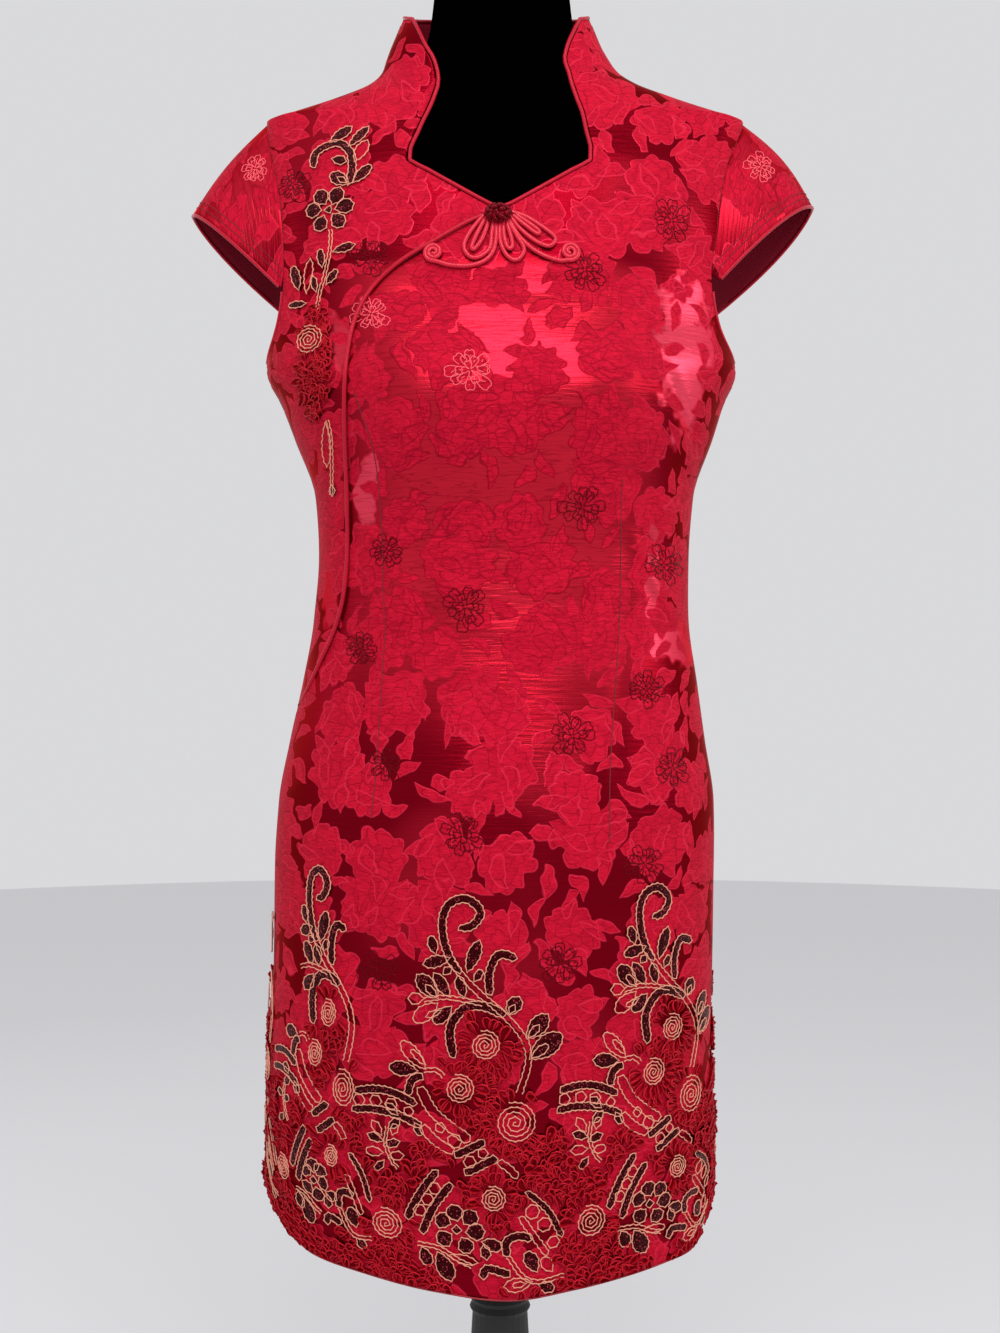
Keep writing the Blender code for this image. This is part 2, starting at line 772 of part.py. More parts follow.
def split_front(finish, home, cutters):
    """The wrapped front and the small side front that the wrap edge parts from it."""
    front = front_wall(finish, home)
    side = bpy.data.objects.new("side_front", front.data.copy())
    home.objects.link(side)
    cut_with(front, wrap_cutter("wrap_cutter", 0.0, 0.0, cutters), "DIFFERENCE")
    cut_with(side, wrap_cutter("side_cutter", -0.0004, 0.0003, cutters), "INTERSECT")
    return front, side


def beside_edge(edge, normals, reach):
    """A line beside a cloth edge, to the edge's left seen from outside, half the wall in."""
    line = []
    last = len(edge) - 1
    for i, point in enumerate(edge):
        before = (point - edge[i - 1]).normalized() if i > 0 else None
        after = (edge[i + 1] - point).normalized() if i < last else None
        sides = [normals[i].cross(way).normalized() for way in (before, after) if way is not None]
        middle = sum(sides, Vector()).normalized()
        line.append(point + middle * (reach / middle.dot(sides[0])) - normals[i] * 0.5 * CLOTH)
    return line


def half_neck_path(sign):
    """One side of the neck piping, from beside the neck point to beside the centre back."""
    reach = PIPING_RADIUS + 3 * SEAM_GAP
    lift = Vector((0.0, 0.0, PIPING_RADIUS + 2 * SEAM_GAP))
    levels = (NECK_POINT_Z, *NECK_LEVELS[:-1])
    edge = []
    normals = []
    for level in levels:
        degrees = sign * neckline_angle(level)
        edge.append(on_side(torso_point(degrees, level), sign))
        normals.append(on_side(torso_normal(degrees, level), sign))
    half = [on_side(point, sign) for point in beside_edge(edge, normals, reach)[1:]]
    corner = neckline_angle(COLLAR_TOP_Z)
    front_angles = (corner - 1.5, 0.5 * (corner + 90.0), 88.0)
    for is_back, angles in ((False, front_angles), (True, (81.0, 63.0, 45.0, 27.0, 9.0))):
        for degrees in angles:
            inward = torso_normal(sign * degrees, COLLAR_TOP_Z, is_back) * 0.5 * CLOTH
            half.append(torso_point(sign * degrees, COLLAR_TOP_Z, is_back) - inward + lift)
    return half


def neck_piping_path():
    """Once round the neck opening: up the +X neckline, along the back collar and down again."""
    low = torso_point(0.0, NECK_POINT_Z)
    low += Vector((0.0, 0.5 * CLOTH, 1.4 * (PIPING_RADIUS + 3 * SEAM_GAP)))
    return [low, *half_neck_path(1), *reversed(half_neck_path(-1))]


def placket_path():
    """Along the wrap edge, on top of the two walls."""
    edge = even_points([(point.x, 0.0, point.z) for point in WRAP_EDGE], 36)
    stand_off = PLACKET_RADIUS + 3 * SEAM_GAP
    return [on_front(point.x, point.z, stand_off) for point in edge[2:-1]]


def armhole_binding_path(sign):
    """Under the arm, from the front end of the sleeve to its back end."""
    edge = []
    normals = []
    for is_back, levels in ((False, reversed(ARM_LEVELS)), (True, ARM_LEVELS)):
        for level in levels:
            side = sign * armhole_angle(level, is_back)
            edge.append(on_side(torso_point(side, level, is_back), sign))
            normals.append(on_side(torso_normal(side, level, is_back), sign))
        if not is_back:
            edge.append(on_side(torso_point(sign * 90.0, UNDERARM_Z), sign))
            normals.append(Vector((1.0, 0.0, 0.0)))
    path = beside_edge(edge, normals, BINDING_RADIUS + 2 * SEAM_GAP)
    return [on_side(point, sign) for point in path]


def sleeve_binding_path(fit):
    """Just below the sleeve's hem."""
    shares = sleeve_shares()[1:-1]
    edge = [sleeve_point(share, 1.0, fit) for share in shares]
    normals = [sleeve_normal(share, 1.0, fit) for share in shares]
    path = beside_edge(list(reversed(edge)), list(reversed(normals)), BINDING_RADIUS + SEAM_GAP)
    return [on_side(point, fit.sign) for point in path]


class LoopShape(NamedTuple):
    """A loop of the frog's fan, seen from the front: where it starts, its tip and half its width."""

    name: str
    root_x: float
    root_z: float
    tip_x: float
    tip_z: float
    neck: float
    belly: float


FROG_LOOPS = (
    LoopShape("frog_loop_far_left", -0.0098, 1.2672, -0.0172, 1.2375, 0.0022, 0.0090),
    LoopShape("frog_loop_inner_left", -0.0118, 1.2590, -0.0165, 1.2436, 0.0016, 0.0040),
    LoopShape("frog_loop_right", 0.0010, 1.2672, 0.0118, 1.2355, 0.0026, 0.0068),
    LoopShape("frog_loop_far_right", 0.0085, 1.2690, 0.0415, 1.2500, 0.0024, 0.0048),
)


class Tail(NamedTuple):
    """A tail of the frog: knots (x, z) to its coil, and the coil."""

    name: str
    knots: tuple
    coil_x: float
    coil_z: float
    coil_radius: float
    first_turn: float
    way: int


FROG_TAILS = (
    Tail(
        "frog_tail_left",
        ((-0.0046, 1.2664), (-0.0035, 1.2550), (-0.0021, 1.2436), (-0.0048, 1.2345),
         (-0.0130, 1.2308), (-0.0260, 1.2298), (-0.0390, 1.2330)),
        -0.0490, 1.2414, 0.0080, -0.35, -1,
    ),
    Tail(
        "frog_tail_right",
        ((0.0205, 1.2480), (0.0260, 1.2420), (0.0350, 1.2382), (0.0480, 1.2362)),
        0.0530, 1.2447, 0.0086, -0.45, 1,
    ),
)
COIL_TURNS = 1.6
COIL_TIGHTENS = 0.58


def frog_loop_path(loop):
    """Down one side of a long loop, round its tip and back up the other."""
    root = Vector((loop.root_x, 0.0, loop.root_z))
    tip = Vector((loop.tip_x, 0.0, loop.tip_z))
    axis = tip - root
    beside = Vector((axis.z, 0.0, -axis.x)).normalized()
    halves = []
    for side in (1, -1):
        start = root + beside * side * loop.neck
        belly = root + axis * 0.72 + beside * side * loop.belly
        halves.append([start, start.lerp(belly, 0.5), belly])
    return [*halves[0], tip, *reversed(halves[1])]


def frog_tail_path(tail):
    """From under the button down and out to a flat coil."""
    path = [Vector((x, 0.0, z)) for x, z in tail.knots]
    centre = Vector((tail.coil_x, 0.0, tail.coil_z))
    steps = 15
    for k in range(steps):
        share = k / (steps - 1)
        turn = math.pi * (tail.first_turn + 2 * tail.way * COIL_TURNS * share)
        radius = tail.coil_radius * (1 - COIL_TIGHTENS * share)
        path.append(centre + Vector((radius * math.cos(turn), 0.0, radius * math.sin(turn))))
    return path


def frog(finish, bead_finish, home):
    """The knotted closure at the neck point: a fan of loops, two coiled tails and the button."""
    stand_off = FROG_RADIUS + 3 * SEAM_GAP
    for loop in FROG_LOOPS:
        flat = even_points(frog_loop_path(loop), 17)
        tube(loop.name, [on_front(p.x, p.z, stand_off) for p in flat], FROG_RADIUS, finish, home)
    for tail in FROG_TAILS:
        flat = even_points(frog_tail_path(tail), 34)
        tube(tail.name, [on_front(p.x, p.z, stand_off) for p in flat], FROG_RADIUS, finish, home)
    shape = bmesh.new()
    bmesh.ops.create_uvsphere(shape, u_segments=14, v_segments=8, radius=1.0)
    bmesh.ops.scale(shape, verts=shape.verts, vec=(0.0110, 0.0050, 0.0075))
    centre = torso_point(0.0, 1.270) + Vector((-0.0022, -0.0083, 0.0030))
    bmesh.ops.translate(shape, verts=shape.verts, vec=centre)
    object_from_bmesh("frog_button", shape, bead_finish, home)


def form_ring(ring_level):
    """A closed ring of the form's points."""
    half_width = smooth_lookup(FORM, "half_width", ring_level)
    front = smooth_lookup(FORM, "front", ring_level)
    back = smooth_lookup(FORM, "back", ring_level)
    sway = smooth_lookup(FORM, "sway", ring_level)
    ring = []
    for k in range(FORM_COLUMNS):
        angle = 2 * math.pi * k / FORM_COLUMNS
        across = math.cos(angle)
        depth = front * across**FRONT_SQUARE if across > 0 else -back * (-across) ** BACK_SQUARE
        ring.append((sway + half_width * math.sin(angle), -depth, ring_level))
    return ring


def form_torso(finish, home):
    """The smooth limbless torso with its neck, closed above and below."""
    shape = bmesh.new()
    rings = []
    for row in FORM:
        rings.append([shape.verts.new(point) for point in form_ring(row.level)])
    for lower, upper in zip(rings, rings[1:]):
        for k in range(FORM_COLUMNS):
            after = (k + 1) % FORM_COLUMNS
            shape.faces.new([lower[k], lower[after], upper[after], upper[k]])
    shape.faces.new(list(reversed(rings[0])))
    shape.faces.new(rings[-1])
    bmesh.ops.recalc_face_normals(shape, faces=shape.faces)
    return object_from_bmesh("form_torso", shape, finish, home)


def turned(name, profile, finish, home, segments=24):
    """A turned solid: the profile's outer side from top to bottom, closed on its axis."""
    mesh = bpy.data.meshes.new(name)
    rows = sorted(profile, key=lambda row: -row.z)
    points = [(0.0, 0.0, rows[0].z)] + [(row.radius, 0.0, row.z) for row in rows]
    points.append((0.0, 0.0, rows[-1].z))
    mesh.from_pydata(points, [(i, i + 1) for i in range(len(points) - 1)], [])
    made = bpy.data.objects.new(name, mesh)
    mesh.materials.append(finish)
    home.objects.link(made)
    screw = made.modifiers.new("Turn", "SCREW")
    screw.steps = segments
    screw.render_steps = segments
    screw.use_merge_vertices = True
    screw.merge_threshold = 0.0001
    screw.use_smooth_shade = True
    return made


def stand(wood, metal, home):
    """The neck cap, the form's foot plate, the pole, the turned post and the round base."""
    turned(
        "neck_cap",
        (Turning(0.0530, FORM_TOP_Z + 0.0003), Turning(0.0550, FORM_TOP_Z + 0.0030),
         Turning(0.0550, FORM_TOP_Z + 0.0085), Turning(0.0480, FORM_TOP_Z + CAP_THICK)),
        wood, home,
    )
    turned(
        "foot_plate",
        (Turning(0.0560, FORM_BOTTOM_Z - 0.0003), Turning(0.0560, FORM_BOTTOM_Z - 0.0080),
         Turning(0.0300, FORM_BOTTOM_Z - 0.0110), Turning(0.0220, FORM_BOTTOM_Z - 0.0300)),
        wood, home,
    )
    turned(
        "pole",
        (Turning(POLE_RADIUS, 0.5263), Turning(POLE_RADIUS, FORM_BOTTOM_Z - 0.0303)),
        metal, home, segments=20,
    )
    turned("post", POST, wood, home)
    turned(
        "base",
        (Turning(BASE_RADIUS, 0.0), Turning(BASE_RADIUS, 0.0080),
         Turning(BASE_RADIUS - 0.006, BASE_THICK - 0.0010), Turning(0.060, BASE_THICK)),
        metal, home, segments=40,
    )


def main():
    """Builds the whole part."""
    for item in list(bpy.data.objects):
        bpy.data.objects.remove(item, do_unlink=True)
    part = collection("cheongsam_on_form")
    cutters = collection("cutters")
    cutters.hide_render = True
    brocade = material("red_brocade", (0.48, 0.010, 0.030), 0.45)
    satin = material("red_satin_piping", (0.62, 0.020, 0.050), 0.35)
    beads = material("garnet_beads", (0.20, 0.004, 0.012), 0.12)
    velvet = material("black_velvet", (0.006, 0.006, 0.007), 0.95)
    wood = material("black_lacquered_wood", (0.010, 0.010, 0.011), 0.25)
    metal = material("black_coated_steel", (0.015, 0.015, 0.016), 0.40, 0.6)

    split_front(brocade, part, cutters)
    back_wall(brocade, part)
    for fit in SLEEVES:
        hem_path = sleeve_binding_path(fit)
        arm_path = armhole_binding_path(fit.sign)
        sleeve(f"sleeve_{fit.name}", fit, brocade, part)
        tube(f"sleeve_binding_{fit.name}", hem_path, BINDING_RADIUS, satin, part)
        tube(f"armhole_binding_{fit.name}", arm_path, BINDING_RADIUS, satin, part)
    tube("neck_piping", neck_piping_path(), PIPING_RADIUS, satin, part, closed=True)
    tube("placket_piping", placket_path(), PLACKET_RADIUS, satin, part)
    frog(satin, beads, part)
    form_torso(velvet, part)
    stand(wood, metal, part)


main()
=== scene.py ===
"""Dresses the CAD frame of a red brocade cheongsam on a black dress form.

Every cloth piece, cord and stitch is placed on one family of rings, the same that the solids
are lofted from: an angle from the centre front or centre back, and a level, the ring's height.
"""

import logging
import math
from dataclasses import dataclass
from enum import Enum
from typing import Callable, Iterable, NamedTuple, Sequence

import bmesh
import bpy
import numpy as np
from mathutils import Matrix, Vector


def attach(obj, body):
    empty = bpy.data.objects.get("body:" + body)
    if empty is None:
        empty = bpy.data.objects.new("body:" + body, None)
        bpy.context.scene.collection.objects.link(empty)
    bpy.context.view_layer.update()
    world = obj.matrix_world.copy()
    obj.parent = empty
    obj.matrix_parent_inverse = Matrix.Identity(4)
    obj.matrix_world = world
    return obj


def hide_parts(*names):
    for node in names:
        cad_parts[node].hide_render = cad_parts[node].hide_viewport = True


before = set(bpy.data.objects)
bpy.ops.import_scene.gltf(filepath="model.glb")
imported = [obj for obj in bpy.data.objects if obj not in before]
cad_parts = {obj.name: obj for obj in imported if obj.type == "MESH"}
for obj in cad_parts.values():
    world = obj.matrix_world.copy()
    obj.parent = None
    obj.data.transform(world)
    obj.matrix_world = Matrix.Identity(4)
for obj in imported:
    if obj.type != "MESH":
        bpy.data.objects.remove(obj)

LOG = logging.getLogger("cheongsam")
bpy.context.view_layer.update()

CLOTH = 0.0011
SEAM_GAP = 0.0003
HEM_Z = 0.461
HEM_REACH = 0.240
WRAP_LOW_Z = 0.892
SLIT_TOP_Z = 0.625
SLIT_HALF_GAP = 0.0022
UNDERARM_Z = 1.168
NECK_POINT_Z = 1.277
NECK_CORNER_Z = 1.322
SHOULDER_TIP_Z = 1.372
COLLAR_BASE_Z = 1.400
COLLAR_TOP_Z = 1.457
COLLAR_BACK_LIFT = 0.021
COLLAR_FRONT_DROP = 0.020
FRONT_SQUARE = 0.86
BACK_SQUARE = 0.92
CHART = 0.00075
BACK_SHIFT = 2.0


class Column:
    """A monotone cubic through a table's column."""

    def __init__(self, rows: Sequence[tuple], key: int, value: int) -> None:
        """Fits the curve.

        Args:
            rows: the table, its keys rising.
            key: the column that holds the keys.
            value: the column that holds the values.
        """
        self.keys = np.array([row[key] for row in rows], float)
        self.values = np.array([row[value] for row in rows], float)
        steps = np.diff(self.keys)
        slopes = np.diff(self.values) / steps
        self.tangents = np.zeros(len(rows))
        both = slopes[:-1] * slopes[1:]
        total = np.where(both > 0, slopes[:-1] + slopes[1:], 1.0)
        self.tangents[1:-1] = np.where(both > 0, 2 * both / total, 0.0)
        self.tangents[0] = slopes[0]
        self.tangents[-1] = slopes[-1]
        self.steps = steps

    def __call__(self, at: np.ndarray) -> np.ndarray:
        """Reads the curve, held at its ends.

        Args:
            at: keys.

        Returns:
            The values there.
        """
        held = np.clip(at, self.keys[0], self.keys[-1])
        i = np.clip(np.searchsorted(self.keys, held) - 1, 0, len(self.steps) - 1)
        t = (held - self.keys[i]) / self.steps[i]
        return (
            (1 + 2 * t) * (1 - t) ** 2 * self.values[i]
            + t * (1 - t) ** 2 * self.steps[i] * self.tangents[i]
            + t * t * (3 - 2 * t) * self.values[i + 1]
            + t * t * (t - 1) * self.steps[i] * self.tangents[i + 1]
        )


class Ring(NamedTuple):
    """One ring of the dress or the form, in metres."""

    level: float
    half_width: float
    front: float
    back: float
    sway: float


DRESS = (
    Ring(0.461, 0.1770, 0.1080, 0.1080, -0.0080),
    Ring(0.533, 0.1780, 0.1090, 0.1100, -0.0080),
    Ring(0.606, 0.1770, 0.1110, 0.1140, -0.0080),
    Ring(0.703, 0.1765, 0.1130, 0.1200, -0.0055),
    Ring(0.776, 0.1766, 0.1140, 0.1240, -0.0045),
    Ring(0.825, 0.1750, 0.1120, 0.1230, -0.0030),
    Ring(0.874, 0.1670, 0.1070, 0.1140, -0.0020),
    Ring(0.922, 0.1585, 0.1000, 0.0970, 0.0000),
    Ring(0.971, 0.1510, 0.0965, 0.0810, 0.0010),
    Ring(1.019, 0.1490, 0.0980, 0.0750, 0.0030),
    Ring(1.068, 0.1520, 0.1080, 0.0800, 0.0035),
    Ring(1.1165, 0.1685, 0.1215, 0.0930, 0.0030),
    Ring(1.145, 0.1785, 0.1250, 0.0990, 0.0020),
    Ring(1.168, 0.1885, 0.1210, 0.1020, 0.0010),
    Ring(1.200, 0.1865, 0.1090, 0.1040, -0.0015),
    Ring(1.240, 0.1890, 0.0990, 0.1030, -0.0020),
    Ring(1.277, 0.1920, 0.0900, 0.0990, 0.0000),
    Ring(1.322, 0.1910, 0.0770, 0.0910, 0.0000),
    Ring(1.350, 0.1920, 0.0630, 0.0830, 0.0020),
    Ring(1.372, 0.1925, 0.0520, 0.0740, 0.0040),
    Ring(1.376, 0.1790, 0.0505, 0.0720, 0.0040),
    Ring(1.388, 0.1410, 0.0480, 0.0670, 0.0040),
    Ring(1.400, 0.1100, 0.0465, 0.0640, 0.0025),
    Ring(1.412, 0.0955, 0.0460, 0.0620, 0.0000),
    Ring(1.424, 0.0893, 0.0460, 0.0620, -0.0020),
    Ring(1.4355, 0.0840, 0.0460, 0.0625, -0.0030),
    Ring(1.445, 0.0800, 0.0455, 0.0630, -0.0030),
    Ring(1.457, 0.0750, 0.0450, 0.0630, -0.0030),
)
FORM = (
    Ring(0.790, 0.1350, 0.0800, 0.0900, -0.0030),
    Ring(0.794, 0.1480, 0.0920, 0.1020, -0.0030),
    Ring(0.806, 0.1580, 0.1000, 0.1100, -0.0030),
    Ring(0.840, 0.1630, 0.1020, 0.1120, -0.0025),
    Ring(0.900, 0.1540, 0.0960, 0.0970, -0.0010),
    Ring(0.950, 0.1450, 0.0900, 0.0780, 0.0010),
    Ring(1.019, 0.1400, 0.0900, 0.0680, 0.0030),
    Ring(1.068, 0.1430, 0.1000, 0.0730, 0.0035),
    Ring(1.1165, 0.1590, 0.1150, 0.0860, 0.0030),
    Ring(1.145, 0.1660, 0.1190, 0.0920, 0.0020),
    Ring(1.168, 0.1660, 0.1150, 0.0955, 0.0010),
    Ring(1.200, 0.1620, 0.1030, 0.0975, 0.0000),
    Ring(1.240, 0.1590, 0.0930, 0.0965, 0.0000),
    Ring(1.277, 0.1600, 0.0850, 0.0930, 0.0000),
    Ring(1.322, 0.1670, 0.0720, 0.0850, 0.0000),
    Ring(1.350, 0.1760, 0.0585, 0.0775, 0.0020),
    Ring(1.367, 0.1780, 0.0500, 0.0710, 0.0040),
    Ring(1.3764, 0.1692, 0.0470, 0.0670, 0.0040),
    Ring(1.3873, 0.1368, 0.0440, 0.0630, 0.0040),
    Ring(1.3986, 0.1082, 0.0430, 0.0590, 0.0030),
    Ring(1.4050, 0.0890, 0.0430, 0.0560, 0.0015),
    Ring(1.4140, 0.0740, 0.0430, 0.0545, 0.0000),
    Ring(1.4260, 0.0645, 0.0430, 0.0540, 0.0010),
    Ring(1.4420, 0.0590, 0.0435, 0.0540, 0.0015),
    Ring(1.4620, 0.0560, 0.0440, 0.0535, 0.0015),
    Ring(1.5000, 0.0525, 0.0450, 0.0525, 0.0015),
    Ring(1.5450, 0.0510, 0.0460, 0.0515, 0.0015),
)


class Armhole(NamedTuple):
    """Where the cloth ends beside the armhole, in degrees."""

    level: float
    front_angle: float
    back_angle: float


ARMHOLE = (
    Armhole(1.168, 90.0, 90.0),
    Armhole(1.173, 82.0, 84.0),
    Armhole(1.180, 76.0, 80.0),
    Armhole(1.190, 70.5, 76.0),
    Armhole(1.205, 66.0, 72.5),
    Armhole(1.225, 62.8, 70.0),
    Armhole(1.250, 61.8, 68.5),
    Armhole(1.277, 62.5, 68.5),
    Armhole(1.305, 65.5, 70.0),
    Armhole(1.330, 70.0, 73.0),
    Armhole(1.350, 76.0, 78.0),
    Armhole(1.363, 82.0, 83.0),
    Armhole(1.372, 90.0, 90.0),
)


class EdgeRow(NamedTuple):
    """A height and what an edge's table gives there: a distance, or an angle and a rise."""

    at: float
    value: float


NECKLINE = tuple(
    EdgeRow(*row)
    for row in (
        (1.277, 0.0000), (1.288, 0.0190), (1.299, 0.0370), (1.311, 0.0560), (1.322, 0.0715),
        (1.332, 0.0715), (1.345, 0.0680), (1.362, 0.0635), (1.380, 0.0575), (1.394, 0.0540),
        (1.412, 0.0535), (1.430, 0.0580), (1.457, 0.0680),
    )
)
WRAP_EDGE = tuple(
    EdgeRow(*row)
    for row in (
        (WRAP_LOW_Z, -0.1680), (0.9080, -0.1560), (0.9310, -0.1420), (0.9540, -0.1300),
        (0.9800, -0.1210), (1.0100, -0.1170), (1.0500, -0.1160), (1.1100, -0.1160),
        (1.1600, -0.1140), (1.1950, -0.1080), (1.2180, -0.0960), (1.2370, -0.0760),
        (1.2530, -0.0500), (1.2690, -0.0220), (1.2770, 0.0000),
    )
)
FRONT_HEM_RISE = tuple(
    EdgeRow(*row)
    for row in (
        (-90.0, 0.078), (-82.0, 0.060), (-67.0, 0.0415), (-57.0, 0.0300), (-50.0, 0.0235),
        (-33.0, 0.0160), (-14.0, 0.0065), (5.0, 0.0000), (21.0, 0.0060), (38.0, 0.0130),
        (50.0, 0.0172), (61.0, 0.0200), (71.0, 0.0360), (80.0, 0.0500), (90.0, 0.0680),
    )
)
BACK_HEM_RISE = tuple(
    EdgeRow(*row)
    for row in (
        (-90.0, 0.056), (-78.0, 0.032), (-60.0, 0.020), (-30.0, 0.008), (0.0, 0.002),
        (30.0, 0.008), (60.0, 0.020), (78.0, 0.032), (90.0, 0.056),
    )
)


class Fold(NamedTuple):
    """A soft trough (depth > 0) or ridge (depth < 0), seen square on."""

    x_start: float
    z_start: float
    x_end: float
    z_end: float
    width: float
    depth: float


FRONT_FOLDS = (
    Fold(-0.095, 1.150, -0.090, 0.830, 0.008, 0.0012),
    Fold(0.098, 1.120, 0.088, 0.830, 0.008, 0.0012),
    Fold(0.118, 1.165, 0.155, 1.095, 0.0048, 0.0056),
    Fold(0.112, 1.150, 0.148, 1.085, 0.0070, -0.0024),
    Fold(0.110, 1.130, 0.140, 0.990, 0.012, -0.0032),
    Fold(-0.110, 1.060, -0.070, 0.960, 0.014, -0.0028),
    Fold(0.080, 0.880, 0.085, 0.740, 0.020, -0.0030),
    Fold(-0.120, 0.880, -0.125, 0.700, 0.024, -0.0026),
    Fold(-0.085, 1.219, 0.112, 1.216, 0.011, 0.0044),
    Fold(0.126, 1.150, 0.150, 1.120, 0.0045, -0.0012),
    Fold(0.120, 1.060, 0.146, 1.000, 0.006, 0.0010),
    Fold(0.096, 1.036, 0.140, 0.962, 0.0055, -0.0026),
    Fold(0.104, 1.044, 0.148, 0.976, 0.0065, 0.0024),
    Fold(0.128, 1.020, 0.150, 0.930, 0.007, -0.0012),
    Fold(-0.128, 1.060, -0.104, 1.000, 0.006, 0.0022),
    Fold(-0.112, 1.030, -0.092, 0.960, 0.007, -0.0020),
    Fold(-0.150, 1.020, -0.128, 0.950, 0.007, 0.0022),
    Fold(-0.122, 1.190, -0.104, 1.130, 0.006, 0.0020),
    Fold(-0.060, 1.010, 0.000, 1.000, 0.007, 0.0006),
    Fold(0.010, 0.985, 0.080, 0.980, 0.008, 0.0007),
    Fold(-0.040, 0.965, 0.050, 0.958, 0.008, -0.0006),
    Fold(-0.060, 1.045, 0.060, 1.040, 0.008, 0.0005),
    Fold(0.030, 0.850, 0.040, 0.700, 0.020, 0.0010),
    Fold(-0.030, 0.820, -0.045, 0.690, 0.022, 0.0010),
)
BACK_FOLDS = (
    Fold(-0.080, 1.120, -0.078, 0.860, 0.008, 0.0014),
    Fold(0.080, 1.120, 0.076, 0.860, 0.008, 0.0014),
    Fold(-0.110, 1.040, -0.030, 1.020, 0.011, 0.0012),
    Fold(0.030, 1.030, 0.115, 1.050, 0.011, 0.0013),
    Fold(-0.090, 1.000, 0.050, 0.985, 0.010, -0.0012),
    Fold(0.060, 0.980, 0.125, 0.960, 0.012, 0.0010),
    Fold(-0.120, 0.970, -0.060, 0.955, 0.010, 0.0010),
    Fold(-0.120, 1.240, -0.060, 1.170, 0.016, -0.0016),
    Fold(0.120, 1.230, 0.065, 1.160, 0.016, -0.0014),
    Fold(-0.060, 0.800, -0.075, 0.640, 0.022, -0.0016),
    Fold(0.070, 0.780, 0.080, 0.650, 0.024, 0.0014),
)


DARTS = (
    (
        (-0.109, 1.139), (-0.093, 1.081), (-0.088, 0.965),
        (-0.089, 0.934), (-0.094, 0.847), (-0.097, 0.819),
    ),
    ((0.092, 1.074), (0.091, 0.968), (0.083, 0.860), (0.082, 0.801)),
)


class SleeveFit(NamedTuple):
    """How one cap sleeve hangs; its tip and its front end are given on the +X side."""

    name: str
    sign: int
    tip_x: float
    tip_z: float
    crown: float
    front_bow: float
    back_bow: float
    front_end: tuple


SLEEVES = (
    SleeveFit("left", -1, 0.2490, 1.2985, 0.0040, -0.10, 0.14, (0.1710, -0.0487, 1.2290)),
    SleeveFit("right", 1, 0.2535, 1.3050, 0.0062, -0.20, 0.20, (0.1705, -0.0497, 1.2345)),
)
SLEEVE_NOTCH_Z = 1.240
SLEEVE_TIP_Y = 0.003
SLEEVE_BACK_END = np.array((0.1790, 0.0430, 1.2270))
SLEEVE_SEAM_GAP = -0.0004


def unit(vectors: np.ndarray) -> np.ndarray:
    """vectors made one long."""
    return vectors / np.maximum(np.linalg.norm(vectors, axis=-1, keepdims=True), 1e-12)


def smooth_path(knots: Sequence[Sequence[float]], count: int) -> np.ndarray:
    """Spaces points evenly on a smooth curve.

    Args:
        knots: what the curve runs through.
        count: how many points to give.

    Returns:
        The points, one a row.
    """
    knots = np.array(knots, float)
    ends = np.vstack([2 * knots[0] - knots[1], knots, 2 * knots[-1] - knots[-2]])
    t = np.linspace(0, 1, 12, endpoint=False)[:, None]
    fine = [
        0.5 * (2 * b + (c - a) * t + (2 * a - 5 * b + 4 * c - d) * t**2 + (3 * b - a - 3 * c + d) * t**3)
        for a, b, c, d in zip(ends, ends[1:], ends[2:], ends[3:])
    ]
    fine = np.vstack([*fine, knots[-1:]])
    lengths = np.concatenate([[0], np.cumsum(np.linalg.norm(np.diff(fine, axis=0), axis=1))])
    at = np.linspace(0, lengths[-1], count)
    return np.column_stack([np.interp(at, lengths, fine[:, k]) for k in range(fine.shape[1])])


